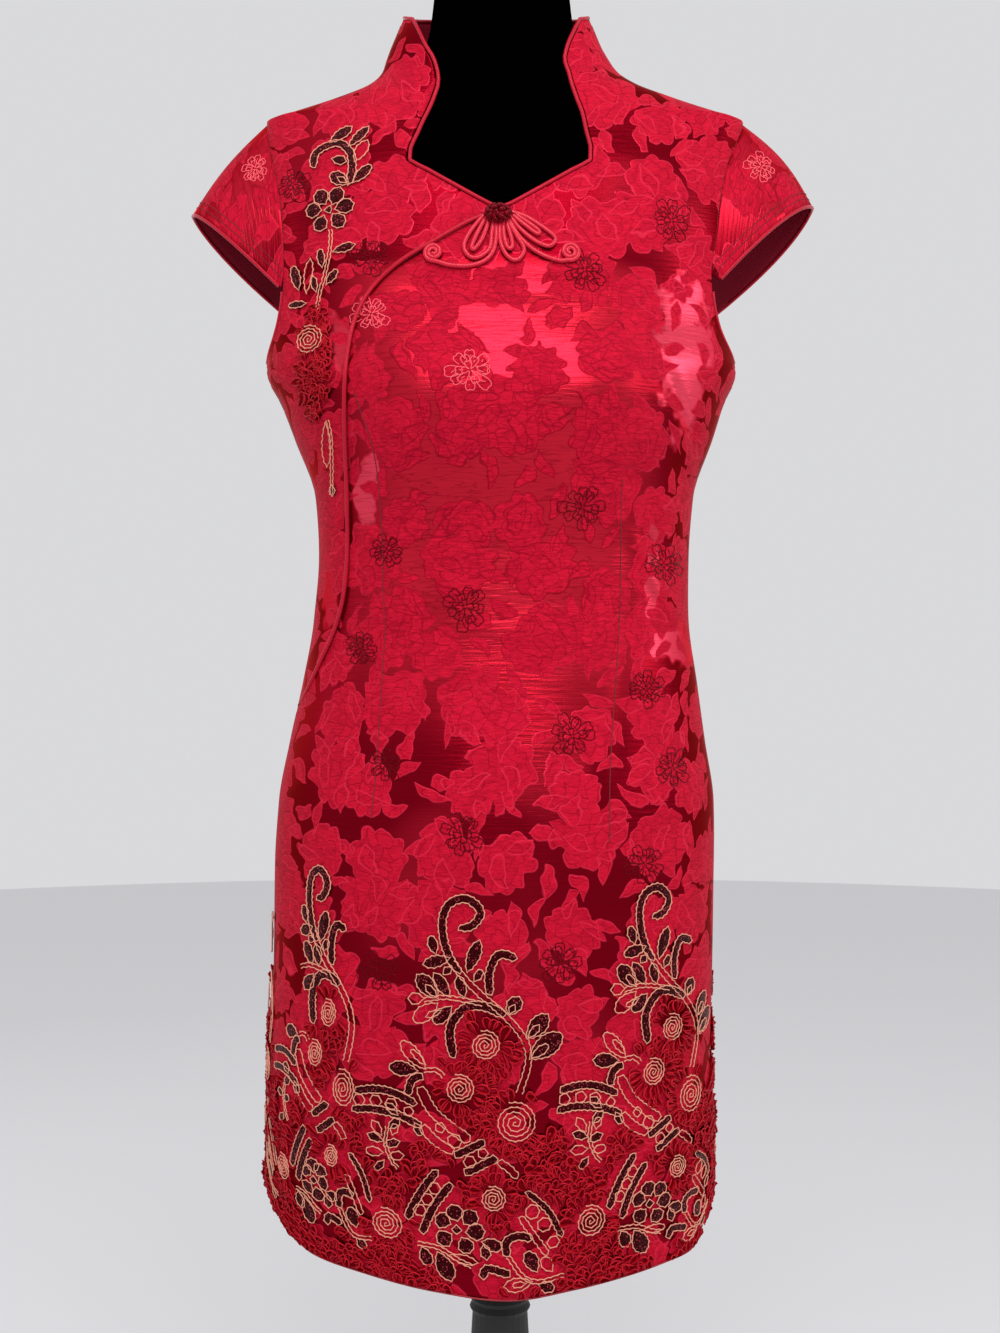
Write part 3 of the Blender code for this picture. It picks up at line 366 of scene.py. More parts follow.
class Dress:
    """The dress's outer surface, read by angle and level or by metres round the cloth."""

    def __init__(self) -> None:
        """Reads the tables and measures the cloth's arcs."""
        self.half_width = Column(DRESS, 0, 1)
        self.depths = {False: Column(DRESS, 0, 2), True: Column(DRESS, 0, 3)}
        self.sway = Column(DRESS, 0, 4)
        self.rises = {False: Column(FRONT_HEM_RISE, 0, 1), True: Column(BACK_HEM_RISE, 0, 1)}
        self.arm = {False: Column(ARMHOLE, 0, 1), True: Column(ARMHOLE, 0, 2)}
        self.neck = Column(NECKLINE, 0, 1)
        self.wrap = Column(WRAP_EDGE, 0, 1)
        self.angles = np.linspace(-90, 90, 181)
        self.arc_levels = np.linspace(HEM_Z, COLLAR_TOP_Z, 80)
        self.arcs = {side: self.measure(side) for side in (False, True)}

    def measure(self, back: bool) -> np.ndarray:
        """Arc lengths from the centre, a row for each arc level."""
        deg, level = np.meshgrid(self.angles, self.arc_levels)
        points = self.point(deg, level, back, folds=False)
        steps = np.linalg.norm(np.diff(points, axis=1), axis=2)
        arcs = np.concatenate([np.zeros((len(self.arc_levels), 1)), np.cumsum(steps, axis=1)], axis=1)
        return arcs - arcs[:, 90:91]

    def height(self, deg: np.ndarray, level: np.ndarray, back: bool) -> np.ndarray:
        """The true height of a ring's points."""
        side = np.radians(np.minimum(np.abs(deg), 90.0))
        collar = np.clip((level - COLLAR_BASE_Z) / (COLLAR_TOP_Z - COLLAR_BASE_Z), 0, 1)
        lift = COLLAR_BACK_LIFT if back else -COLLAR_FRONT_DROP
        near_hem = np.clip(1 - (level - HEM_Z) / HEM_REACH, 0, 1) ** 2
        return level + collar * lift * np.cos(side) + near_hem * self.rises[back](deg)

    def creases(self, x: np.ndarray, z: np.ndarray, back: bool) -> np.ndarray:
        """How far the folds press the cloth in."""
        depth = np.zeros_like(x)
        for fold in BACK_FOLDS if back else FRONT_FOLDS:
            along = (fold.x_end - fold.x_start, fold.z_end - fold.z_start)
            share = ((x - fold.x_start) * along[0] + (z - fold.z_start) * along[1]) / (
                along[0] ** 2 + along[1] ** 2
            )
            held = np.clip(share, 0, 1)
            across = np.hypot(x - fold.x_start - held * along[0], z - fold.z_start - held * along[1])
            taper = np.sin(np.pi * np.clip(0.08 + 0.84 * held, 0, 1))
            depth += fold.depth * taper * np.exp(-((across / fold.width) ** 2))
        return depth

    def point(self, deg: np.ndarray, level: np.ndarray, back: bool, folds: bool = True) -> np.ndarray:
        """Points of the outer surface.

        Args:
            deg: degrees from the centre front or centre back, rising towards +X.
            level: ring levels.
            back: whether it is the back.
            folds: whether the creases are pressed in.

        Returns:
            World points, in a last axis of three.
        """
        deg, level = np.broadcast_arrays(np.asarray(deg, float), np.asarray(level, float))
        angle = np.radians(deg)
        slit = np.clip((SLIT_TOP_Z - level) / (SLIT_TOP_Z - HEM_Z), 0, 1)
        apart = 0.5 * SEAM_GAP + SLIT_HALF_GAP * slit
        x = self.half_width(level) * np.sin(angle)
        across = np.maximum(np.cos(angle), 0.0)
        z = self.height(deg, level, back)
        edge = np.clip(4 * across, 0, 1)
        if back:
            depth = self.depths[True](level) * across**BACK_SQUARE
            if folds:
                depth = depth - self.creases(x, z, True) * edge
            flare = 1 + 0.03 * slit * np.abs(np.sin(angle)) ** 6
            return np.stack([self.sway(level) + x * flare, apart + depth, z], axis=-1)
        depth = self.depths[False](level) * across**FRONT_SQUARE
        for side in (-1, 1):
            mound = ((x - side * 0.080) / 0.046) ** 2 + ((level - 1.135) / 0.048) ** 2
            depth = depth + 0.0075 * np.exp(-mound)
        if folds:
            depth = depth - self.creases(x, z, False) * edge
        return np.stack([self.sway(level) + x, -apart - depth, z], axis=-1)

    def normal(self, deg: np.ndarray, level: np.ndarray, back: bool) -> np.ndarray:
        """Outward unit normals."""
        turn, step = 0.5, 0.0015
        around = self.point(np.minimum(deg + turn, 90), level, back, False) - self.point(
            np.maximum(deg - turn, -90), level, back, False
        )
        upward = self.point(deg, np.minimum(level + step, COLLAR_TOP_Z), back, False) - self.point(
            deg, np.maximum(level - step, HEM_Z), back, False
        )
        return unit(np.cross(around, upward)) * (-1 if back else 1)

    def arc(self, deg: np.ndarray, level: np.ndarray, back: bool) -> np.ndarray:
        """Metres round the cloth from the centre."""
        row = np.interp(level, self.arc_levels, np.arange(len(self.arc_levels)))
        low = np.clip(row.astype(int), 0, len(self.arc_levels) - 2)
        column = np.clip(np.asarray(deg) + 90, 0, 180)
        left = np.clip(column.astype(int), 0, 179)
        share = column - left
        table = self.arcs[back]
        lower = table[low, left] * (1 - share) + table[low, left + 1] * share
        upper = table[low + 1, left] * (1 - share) + table[low + 1, left + 1] * share
        return lower + (upper - lower) * (row - low)

    def angle_of(self, u: np.ndarray, level: np.ndarray, back: bool) -> np.ndarray:
        """Degrees of points that lie u metres round the cloth."""
        u, level = np.broadcast_arrays(np.asarray(u, float), np.asarray(level, float))
        low = np.full(u.shape, -90.0)
        high = np.full(u.shape, 90.0)
        for _ in range(16):
            middle = 0.5 * (low + high)
            beyond = self.arc(middle, level, back) > u
            high = np.where(beyond, middle, high)
            low = np.where(beyond, low, middle)
        return 0.5 * (low + high)

    def on_cloth(self, u: np.ndarray, level: np.ndarray, off: np.ndarray, back: bool) -> np.ndarray:
        """Points that stand off the cloth, found by metres round it and level."""
        deg = self.angle_of(u, level, back)
        return self.stand_off(deg, level, off, back)

    def stand_off(self, deg: np.ndarray, level: np.ndarray, off: np.ndarray, back: bool) -> np.ndarray:
        """Points that stand off the cloth, found by angle and level."""
        off = np.broadcast_to(np.asarray(off, float), np.shape(deg))
        lift = self.point(deg, level, back) + self.normal(deg, level, back) * off[..., None]
        return lift

    def seen(self, x: np.ndarray, z: np.ndarray, off: float, back: bool = False) -> np.ndarray:
        """Points that stand off the cloth, found by where they are seen square on."""
        level = np.asarray(z, float)
        deg = np.zeros_like(level)
        for _ in range(5):
            ratio = (x - self.sway(level)) / self.half_width(level)
            deg = np.degrees(np.arcsin(np.clip(ratio, -1, 1)))
            level = level + (z - self.height(deg, level, back))
        return self.stand_off(deg, level, off, back)

    def arm_angle(self, level: np.ndarray, back: bool) -> np.ndarray:
        """Where the cloth ends beside the arm."""
        level = np.asarray(level, float)
        whole = (level <= UNDERARM_Z) | (level >= SHOULDER_TIP_Z)
        return np.where(whole, 90.0, self.arm[back](level))

    def neck_angle(self, level: np.ndarray) -> np.ndarray:
        """Where the neckline's edge lies."""
        return np.degrees(np.arcsin(self.neck(level) / self.half_width(level)))

    def wrap_angle(self, level: np.ndarray) -> np.ndarray:
        """Where the wrap edge lies."""
        ratio = (self.wrap(level) - self.sway(level)) / self.half_width(level)
        return np.degrees(np.arcsin(np.clip(ratio, -1, 1)))


class Thread(NamedTuple):
    """A cord's middle line, whether it closes, and any share of the radius at each point."""

    points: np.ndarray
    closed: bool = False
    swell: np.ndarray | None = None


def link(made: bpy.types.Object, finish: "Finish", *nodes: str, slot: str = "") -> bpy.types.Object:
    """Puts a piece into the scene, dresses it and hides the solids that it stands for.

    Args:
        made: the piece.
        finish: its finish.
        nodes: the CAD nodes that it replaces.
        slot: the record's material slot; not used.

    Returns:
        The piece.
    """
    bpy.context.scene.collection.objects.link(made)
    made.data.materials.append(finish.material())
    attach(made, "root")
    if nodes:
        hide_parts(*nodes)
    LOG.info("made %s", made.name)
    return made


def grid_piece(
    name: str, columns: int, rows: int, place: Callable[[np.ndarray, np.ndarray], tuple]
) -> bpy.types.Object:
    """A grid whose vertices are mapped onto a surface.

    Args:
        name: the piece's name.
        columns: faces across.
        rows: faces up.
        place: gives points and UVs in metres for shares across and up.

    Returns:
        The piece, not yet linked.
    """
    shape = bmesh.new()
    bmesh.ops.create_grid(shape, x_segments=columns, y_segments=rows, size=0.5)
    shape.verts.index_update()
    flat = np.array([vert.co[:] for vert in shape.verts])
    points, metres = place(flat[:, 0] + 0.5, flat[:, 1] + 0.5)
    for vert, point in zip(shape.verts, points):
        vert.co = point
    layer = shape.loops.layers.uv.new("metres")
    for face in shape.faces:
        for corner in face.loops:
            corner[layer].uv = metres[corner.vert.index]
    mesh = bpy.data.meshes.new(name)
    shape.to_mesh(mesh)
    shape.free()
    mesh.shade_smooth()
    return bpy.data.objects.new(name, mesh)


def thicken(piece: bpy.types.Object, thickness: float) -> None:
    """Gives cloth its thickness inwards, its inside in the piece's second finish."""
    solid = piece.modifiers.new("Thickness", "SOLIDIFY")
    solid.thickness = thickness
    solid.offset = -1.0
    solid.material_offset = 1
    solid.material_offset_rim = 0
    solid.use_even_offset = False


def cords(name: str, paths: Iterable[Thread], radius: float, resolution: int = 1) -> bpy.types.Object:
    """Round cords as one curve piece.

    Args:
        name: the piece's name.
        paths: the cords' lines.
        radius: the cord's radius.
        resolution: the bevel's resolution.

    Returns:
        The piece, not yet linked.
    """
    curve = bpy.data.curves.new(name, "CURVE")
    curve.dimensions = "3D"
    curve.bevel_depth = radius
    curve.bevel_resolution = resolution
    curve.use_fill_caps = True
    for points, closed, swell in paths:
        spline = curve.splines.new("POLY")
        spline.points.add(len(points) - 1)
        flat = np.column_stack([points, np.ones(len(points))])
        spline.points.foreach_set("co", flat.ravel())
        if swell is not None:
            spline.points.foreach_set("radius", swell)
        spline.use_cyclic_u = closed
        spline.use_smooth = True
    return bpy.data.objects.new(name, curve)


def trim(name: str, path: np.ndarray, radius: float, closed: bool = False) -> None:
    """Links a satin piping or binding, which stands for the solid of its name."""
    made = cords(f"{name}_satin", [Thread(path, closed)], radius, 2)
    link(made, SATIN, name, slot="red_satin_piping")


def joined_mesh(name: str, patches: Sequence[np.ndarray]) -> bpy.types.Object:
    """Many small grids as one mesh.

    Args:
        name: the piece's name.
        patches: arrays of points, rows by columns by three.

    Returns:
        The piece, not yet linked.
    """
    points, faces = [], []
    start = 0
    for patch in patches:
        rows, columns = patch.shape[:2]
        index = start + np.arange(rows * columns).reshape(rows, columns)
        quads = np.stack([index[:-1, :-1], index[:-1, 1:], index[1:, 1:], index[1:, :-1]], axis=-1)
        faces.append(quads.reshape(-1, 4))
        points.append(patch.reshape(-1, 3))
        start += rows * columns
    mesh = bpy.data.meshes.new(name)
    mesh.from_pydata(np.vstack(points).tolist(), [], np.vstack(faces).tolist())
    mesh.shade_smooth()
    return bpy.data.objects.new(name, mesh)


def linear(code: str) -> tuple[float, float, float, float]:
    """An sRGB hex code as linear light."""
    shares = [int(code[i : i + 2], 16) / 255 for i in (1, 3, 5)]
    return (*[s / 12.92 if s <= 0.04045 else ((s + 0.055) / 1.055) ** 2.4 for s in shares], 1.0)


def node(tree: bpy.types.NodeTree, kind: str, feeds: dict | None = None, out: int | str = 0, **settings):
    """Adds a shader node.

    Args:
        tree: the node tree.
        kind: the node's type without its ShaderNode prefix.
        feeds: values or sockets for its inputs, by name or number.
        out: the output to give back.
        settings: properties of the node.

    Returns:
        The chosen output socket, or the node where it has none.
    """
    made = tree.nodes.new("ShaderNode" + kind)
    for key, value in settings.items():
        setattr(made, key, value)
    for key, value in (feeds or {}).items():
        if isinstance(value, bpy.types.NodeSocket):
            tree.links.new(value, made.inputs[key])
        else:
            made.inputs[key].default_value = value
    return made.outputs[out] if len(made.outputs) else made


def ramp(
    tree: bpy.types.NodeTree, value, low: float, high: float, to_low: float = 0.0, to_high: float = 1.0
):
    """A smooth step of a value from low to high."""
    feeds = {"Value": value, "From Min": low, "From Max": high, "To Min": to_low, "To Max": to_high}
    return node(tree, "MapRange", feeds, interpolation_type="SMOOTHSTEP")


def calc(tree: bpy.types.NodeTree, operation: str, *values):
    """A maths node over its values."""
    return node(tree, "Math", dict(enumerate(values)), operation=operation)


def vector(tree: bpy.types.NodeTree, operation: str, *values, out: str = "Vector"):
    """A vector maths node over its values."""
    return node(tree, "VectorMath", dict(enumerate(values)), out=out, operation=operation)


def flakes(tree: bpy.types.NodeTree, where, size: float, randomness: float, out: str):
    """Flat cells of an uneven lattice, size metres apart."""
    feeds = {"Vector": where, "Scale": 1 / size, "Randomness": randomness}
    return node(tree, "TexVoronoi", feeds, out=out, voronoi_dimensions="2D")


def streaks(tree: bpy.types.NodeTree, metres, across: float, up: float, **feeds: float):
    """Noise drawn out along the weft: so many waves a metre across and up."""
    stretched = node(tree, "Mapping", {"Vector": metres, "Scale": (across, up, 1.0)})
    return node(tree, "TexNoise", {"Vector": stretched, "Scale": 1.0, **feeds})


def mixed(tree: bpy.types.NodeTree, share, first, second):
    """Two colours mixed."""
    return node(tree, "Mix", {0: share, 6: first, 7: second}, out=2, data_type="RGBA")


@dataclass(frozen=True)
class Finish:
    """A plain finish: a real material's colour, gloss and grain."""

    name: str
    colour: str
    roughness: float
    metallic: float = 0.0
    specular: float = 0.5
    tint: str = "#ffffff"
    sheen: float = 0.0
    coat: float = 0.0
    grain: float = 0.0
    grain_size: float = 0.0012
    mottle: float = 0.0
    painted_glint: str = ""

    def material(self) -> bpy.types.Material:
        """The finish's material, made once."""
        made = bpy.data.materials.get(self.name)
        if made is None:
            made = bpy.data.materials.new(self.name)
            made.use_nodes = True
            self.paint(made.node_tree, made.node_tree.nodes["Principled BSDF"])
        return made

    def paint(self, tree: bpy.types.NodeTree, shader: bpy.types.Node) -> None:
        """Sets the shader, with a mottled colour, painted glints and a fine grain where the finish has them.
        """
        colour = linear(self.colour)
        shader.inputs["Base Color"].default_value = colour
        shader.inputs["Roughness"].default_value = self.roughness
        shader.inputs["Metallic"].default_value = self.metallic
        shader.inputs["Specular IOR Level"].default_value = self.specular
        shader.inputs["Specular Tint"].default_value = linear(self.tint)
        shader.inputs["Sheen Weight"].default_value = self.sheen
        shader.inputs["Sheen Roughness"].default_value = 0.35
        shader.inputs["Sheen Tint"].default_value = linear(self.tint)
        shader.inputs["Coat Weight"].default_value = self.coat
        shader.inputs["Coat Roughness"].default_value = 0.08
        if not self.grain:
            return
        where = node(tree, "TexCoord", out="Object")
        cells = node(tree, "TexVoronoi", {"Vector": where, "Scale": 1 / self.grain_size})
        if self.mottle:
            dark = tuple(channel * (1 - self.mottle) for channel in colour[:3]) + (1.0,)
            blend = mixed(tree, ramp(tree, cells, 0.15, 0.55), colour, dark)
            # Painted glints: pale specks on some cells stand in for the beads' highlights.
            if self.painted_glint:
                chance = node(tree, "SeparateColor", {"Color": cells.node.outputs["Color"]})
                painted_glint_mask = calc(tree, "MULTIPLY", ramp(tree, chance, 0.55, 0.57), ramp(tree, cells, 0.45, 0.15))
                blend = mixed(tree, painted_glint_mask, blend, linear(self.painted_glint))
            tree.links.new(blend, shader.inputs["Base Color"])
        feeds = {"Height": cells, "Strength": 1.0, "Distance": self.grain}
        tree.links.new(node(tree, "Bump", feeds), shader.inputs["Normal"])


class Clearing(NamedTuple):
    """Bare satin between the flowers: its place, its half sizes and how strong its painted flash is."""

    u: float
    level: float
    width: float
    height: float
    bright: float


@dataclass(frozen=True)
class Brocade(Finish):
    """Silk jacquard: matte woven flowers and leaves on a satin ground that flashes in the light, by its gloss
    and by painted sheen and painted flashes in its colour.
    """

    ground: str = "#760314"
    # The next two reds are painted light: a painted sheen and a pale painted flash, the satin as it looks
    # where it catches the light.
    ground_lit: str = "#c21e32"
    ground_painted_flash: str = "#f04860"
    ground_sheen: float = 0.85
    motif_sheen: float = 0.12
    motif_roughness: float = 0.62
    petal_shade: str = "#a80e28"
    line: str = "#7a0618"
    float_rim: str = "#cc2640"
    flower_spacing: float = 0.052
    petal_ring: float = 0.0072
    leaf_spacing: float = 0.0255
    leaf_reach: float = 0.0130
    leaf_half: float = 0.0049
    leaf_bow: float = 0.0030
    petal_size: float = 0.0088
    crinkle: float = 0.00016
    # Clearings with a last number above zero get a painted flash: pale red painted where that satin catches
    # the light.
    clearings: tuple = (
        Clearing(0.004, 1.186, 0.036, 0.017, 0.0), Clearing(0.068, 1.194, 0.022, 0.011, 0.0),
        Clearing(0.150, 1.172, 0.026, 0.056, 1.0), Clearing(-0.128, 1.176, 0.010, 0.018, 0.3),
        Clearing(0.122, 1.000, 0.007, 0.036, 0.5), Clearing(-0.108, 1.066, 0.009, 0.030, 0.7),
        Clearing(0.150, 0.950, 0.026, 0.016, 0.8), Clearing(-0.150, 0.990, 0.010, 0.022, 0.3),
    )

    def cell(self, tree: bpy.types.NodeTree, where, spacing: float, randomness: float) -> tuple:
        """The place within a cell of an uneven lattice, and that cell's own random numbers."""
        place = flakes(tree, where, spacing, randomness, "Position")
        chance = node(tree, "SeparateColor", {"Color": place.node.outputs["Color"]}).node
        return vector(tree, "SUBTRACT", where, place), chance

    def blossoms(self, tree: bpy.types.NodeTree, where) -> tuple:
        """Flowers of scalloped petals, one in each cell of an uneven lattice."""
        local, chance = self.cell(tree, where, self.flower_spacing, 0.62)
        axes = node(tree, "SeparateXYZ", {"Vector": local}).node
        reach = vector(tree, "LENGTH", local, out="Value")
        turn = calc(tree, "ARCTAN2", axes.outputs["Y"], axes.outputs["X"])
        turn = calc(tree, "MULTIPLY_ADD", chance.outputs["Red"], 6.0, turn)
        rings = calc(tree, "DIVIDE", reach, self.petal_ring)
        ring = calc(tree, "FLOOR", rings)
        within = calc(tree, "FRACT", rings)
        count = calc(tree, "MULTIPLY_ADD", ring, 3.0, 4.0)
        around = calc(tree, "MULTIPLY", calc(tree, "MULTIPLY", turn, 1 / (2 * math.pi)), count)
        around = calc(tree, "MULTIPLY_ADD", ring, 0.5, around)
        petal = calc(tree, "SUBTRACT", calc(tree, "FRACT", around), 0.5)
        arch = calc(tree, "MULTIPLY", calc(tree, "MULTIPLY", petal, petal), -1.7)
        gap = calc(tree, "ABSOLUTE", calc(tree, "SUBTRACT", within, calc(tree, "ADD", arch, 0.96)))
        lines = ramp(tree, gap, 0.035, 0.075, 1.0, 0.0)
        size = ramp(tree, chance.outputs["Green"], 0.0, 1.0, 0.0195, 0.0300)
        scallop = calc(tree, "ABSOLUTE", calc(tree, "SINE", calc(tree, "MULTIPLY", turn, 4.5)))
        edge = calc(tree, "MULTIPLY", size, calc(tree, "MULTIPLY_ADD", scallop, 0.17, 0.86))
        return calc(tree, "SUBTRACT", edge, reach), lines

    def leaves(self, tree: bpy.types.NodeTree, where) -> bpy.types.NodeSocket:
        """Lens-shaped leaves at all angles."""
        local, chance = self.cell(tree, where, self.leaf_spacing, 0.8)
        feeds = {"Vector": local, "Angle": calc(tree, "MULTIPLY", chance.outputs["Red"], 6.28)}
        turned = node(tree, "VectorRotate", feeds, rotation_type="Z_AXIS")
        axes = node(tree, "SeparateXYZ", {"Vector": turned}).node
        along = calc(tree, "MULTIPLY", axes.outputs["X"], 1 / self.leaf_reach)
        square = calc(tree, "MULTIPLY", along, along)
        bow = calc(tree, "MULTIPLY", square, self.leaf_bow)
        half = calc(tree, "MULTIPLY_ADD", square, -self.leaf_half, self.leaf_half)
        across = calc(tree, "ABSOLUTE", calc(tree, "SUBTRACT", axes.outputs["Y"], bow))
        return calc(tree, "SUBTRACT", half, across)

    def warped(self, tree: bpy.types.NodeTree, metres) -> bpy.types.NodeSocket:
        """The cloth's metres bent in large and small waves, so that no motif is regular."""
        where = metres
        for scale, detail, reach in ((26.0, 1.0, 0.022), (110.0, 0.0, 0.0055)):
            feeds = {"Vector": metres, "Scale": scale, "Detail": detail}
            shift = vector(tree, "SUBTRACT", node(tree, "TexNoise", feeds, out="Color"), (0.5, 0.5, 0.5))
            shift = node(tree, "VectorMath", {0: shift, "Scale": reach}, operation="SCALE")
            where = vector(tree, "ADD", where, shift)
        return where

    def cleared(self, tree: bpy.types.NodeTree, where, metres, inside) -> tuple:
        """Keeps the flowers off the clearings.

        Args:
            tree: the node tree.
            where: the bent metres.
            metres: the cloth's metres.
            inside: how far inside a flower a spot lies.

        Returns:
            That distance without the clearings, how bare the satin is, and how strong the painted flash is
            there.
        """
        bare, glow = 0.0, 0.0
        ragged = node(tree, "TexNoise", {"Vector": metres, "Scale": 48.0, "Detail": 2.0})
        ragged = calc(tree, "MULTIPLY_ADD", ragged, 2.4, -1.2)
        for spot in self.clearings:
            ahead = vector(tree, "SUBTRACT", where, (spot.u, spot.level, 0.0))
            ahead = vector(tree, "MULTIPLY", ahead, (1 / spot.width, 1 / spot.height, 0.0))
            reach = calc(tree, "ADD", vector(tree, "LENGTH", ahead, out="Value"), ragged)
            inside = calc(tree, "MINIMUM", inside, calc(tree, "MULTIPLY_ADD", reach, 0.02, -0.02))
            bare = calc(tree, "MAXIMUM", bare, ramp(tree, reach, 1.3, 0.9))
            # The painted flash: a pale red painted into the satin's colour in the brighter clearings.
            if spot.bright:
                glow = calc(tree, "MAXIMUM", glow, ramp(tree, reach, 1.1, 0.8, 0.0, spot.bright))
        return inside, bare, glow

    def calm_field(self, tree: bpy.types.NodeTree, metres) -> bpy.types.NodeSocket:
        """One over the middle of the waist and bust, where the satin lies smooth; it sets where the ground
        gets an even painted sheen and where the painted crinkle shade is strongest.
        """
        axes = node(tree, "SeparateXYZ", {"Vector": metres}).node
        across = calc(tree, "ABSOLUTE", axes.outputs["X"])
        up = calc(tree, "MODULO", axes.outputs["Y"], BACK_SHIFT)
        calm = calc(tree, "MULTIPLY", ramp(tree, across, 0.150, 0.070, 0.0, 1.0), ramp(tree, up, 0.86, 0.97))
        return calc(tree, "MULTIPLY", calm, ramp(tree, up, 1.245, 1.225))

    def petal_colour(self, tree: bpy.types.NodeTree, where, metres) -> bpy.types.NodeSocket:
        """The flowers' red, each petal a little lighter or darker, streaked by its threads."""
        threads = streaks(tree, metres, 150.0, 760.0, Detail=2.0)
        tone = node(tree, "SeparateColor", {"Color": flakes(tree, where, self.petal_size, 0.85, "Color")})
        streaked = ramp(tree, threads, 0.36, 0.64, 0.0, 0.75)
        shade = calc(tree, "ADD", streaked, ramp(tree, tone, 0.2, 0.9, 0.0, 0.4))
        return mixed(tree, shade, linear(self.colour), linear(self.petal_shade))

    def ground_colour(self, tree: bpy.types.NodeTree, metres, calm, bare, glow) -> bpy.types.NodeSocket:
        """The satin's red: deep, lifted by a painted sheen in broad random drifts, evenly over the smooth
        middle and in the bare clearings, and pale with a painted flash where a clearing flashes.
        """
        drift = node(tree, "TexNoise", {"Vector": metres, "Scale": 9.0, "Detail": 1.0})
        # Painted sheen: the ground is lifted towards its lit red over the calm middle, in drifts and in the
        # bare clearings.
        smooth = calc(tree, "MULTIPLY", calm, ramp(tree, drift, 0.30, 0.50, 0.70, 1.0))
        lift = calc(tree, "MAXIMUM", ramp(tree, drift, 0.48, 0.70, 0.0, 0.45), smooth)
        lift = calc(tree, "MAXIMUM", lift, bare)
        ground = mixed(tree, lift, linear(self.ground), linear(self.ground_lit))
        # Painted flash: pale red in the clearings that flash.
        return mixed(tree, glow, ground, linear(self.ground_painted_flash))

    def crinkle_shade_lines(self, tree: bpy.types.NodeTree, metres, calm) -> bpy.types.NodeSocket:
        """Painted shade in the fine weft crinkles: thin dark lines along the weft, strongest where the satin
        is smooth.
        """
        weft = streaks(tree, metres, 34.0, 300.0, Detail=1.0, Distortion=0.5)
        weft = calc(tree, "ABSOLUTE", calc(tree, "SUBTRACT", weft, 0.5))
        strength = calc(tree, "MULTIPLY_ADD", calm, 0.7, 0.3)
        return calc(tree, "MULTIPLY", ramp(tree, weft, 0.006, 0.040, 0.42, 0.0), strength)

    def drawn_lines(self, tree: bpy.types.NodeTree, where, metres, petals) -> bpy.types.NodeSocket:
        """The lines within the flowers: rings of petals in some patches and small cells in others."""
        feeds = {"Vector": where, "Scale": 1 / self.petal_size, "Randomness": 0.85}
        cells = node(tree, "TexVoronoi", feeds, feature="DISTANCE_TO_EDGE", voronoi_dimensions="2D")
        patches = node(tree, "TexNoise", {"Vector": metres, "Scale": 14.0, "Detail": 0.0})
        feeds = {0: ramp(tree, patches, 0.47, 0.53), 2: petals, 3: ramp(tree, cells, 0.02, 0.055, 1.0, 0.0)}
        return node(tree, "Mix", feeds, data_type="FLOAT")

    def paint(self, tree: bpy.types.NodeTree, shader: bpy.types.Node) -> None:
        """Weaves the pattern into colour and gloss, with painted sheen, painted flashes and painted crinkle
        shade in the colour, and fine weft crinkles as a bump.
        """
        metres = node(tree, "UVMap", uv_map="metres")
        where = self.warped(tree, metres)
        inside, petals = self.blossoms(tree, where)
        inside, bare, glow = self.cleared(tree, where, metres, inside)
        calm = self.calm_field(tree, metres)
        leaf = self.leaves(tree, where)
        kept = self.drawn_lines(tree, where, metres, petals)
        motif = ramp(tree, calc(tree, "MAXIMUM", inside, leaf), -0.0003, 0.0003)
        rim = calc(tree, "MINIMUM", calc(tree, "ABSOLUTE", inside), calc(tree, "ABSOLUTE", leaf))
        rim_line = ramp(tree, rim, 0.0003, 0.0008, 1.0, 0.0)
        dark_rim = calc(tree, "MULTIPLY", rim_line, calm)
        lines = calc(tree, "MAXIMUM", calc(tree, "MULTIPLY", kept, motif), dark_rim)
        float_rim = calc(tree, "MULTIPLY", rim_line, calc(tree, "MULTIPLY_ADD", calm, -0.75, 0.75))
        # The ground's colour holds the painted sheen and the painted flashes.
        ground = self.ground_colour(tree, metres, calm, bare, glow)
        cloth = mixed(tree, motif, ground, self.petal_colour(tree, where, metres))
        cloth = mixed(tree, calc(tree, "MULTIPLY", lines, 0.60), cloth, linear(self.line))
        cloth = mixed(tree, float_rim, cloth, linear(self.float_rim))
        # Painted shade of the weft crinkles, in the lines' dark red.
        cloth = mixed(tree, self.crinkle_shade_lines(tree, metres, calm), cloth, linear(self.line))
        gloss = {
            "Roughness": (self.roughness, self.motif_roughness),
            "Metallic": (self.ground_sheen, self.motif_sheen),
        }
        tree.links.new(cloth, shader.inputs["Base Color"])
        for name, (on_ground, on_motif) in gloss.items():
            tree.links.new(ramp(tree, motif, 0.0, 1.0, on_ground, on_motif), shader.inputs[name])
        shader.inputs["Specular IOR Level"].default_value = self.specular
        shader.inputs["Specular Tint"].default_value = linear(self.tint)
        shader.inputs["Sheen Weight"].default_value = self.sheen
        shader.inputs["Sheen Tint"].default_value = linear(self.tint)
        crinkles = streaks(tree, metres, 38.0, 420.0, Detail=3.0)
        height = calc(tree, "MULTIPLY_ADD", motif, 0.6, calc(tree, "MULTIPLY", crinkles, 2.2))
        feeds = {"Height": height, "Strength": 1.0, "Distance": self.crinkle}
        tree.links.new(node(tree, "Bump", feeds), shader.inputs["Normal"])


# Matte flowers over satin that flashes pale red where the cloth turns to the light, partly by its gloss and
# partly by painted sheen and painted flashes in its colour.
BROCADE = Brocade("red_brocade_silk", "#c41530", 0.31, specular=0.12, tint="#ff5a6c")
# The jacquard's back: its floats are hidden, so it is dark and without gloss.
WRONG_SIDE = Finish("brocade_wrong_side", "#7e0c22", 0.80, specular=0.15, grain=0.00012)
# Bias-cut satin over a cord: one soft highlight along its top.
SATIN = Finish("red_satin_bias", "#a81229", 0.34, specular=0.8, tint="#ff6470", grain=0.00008)
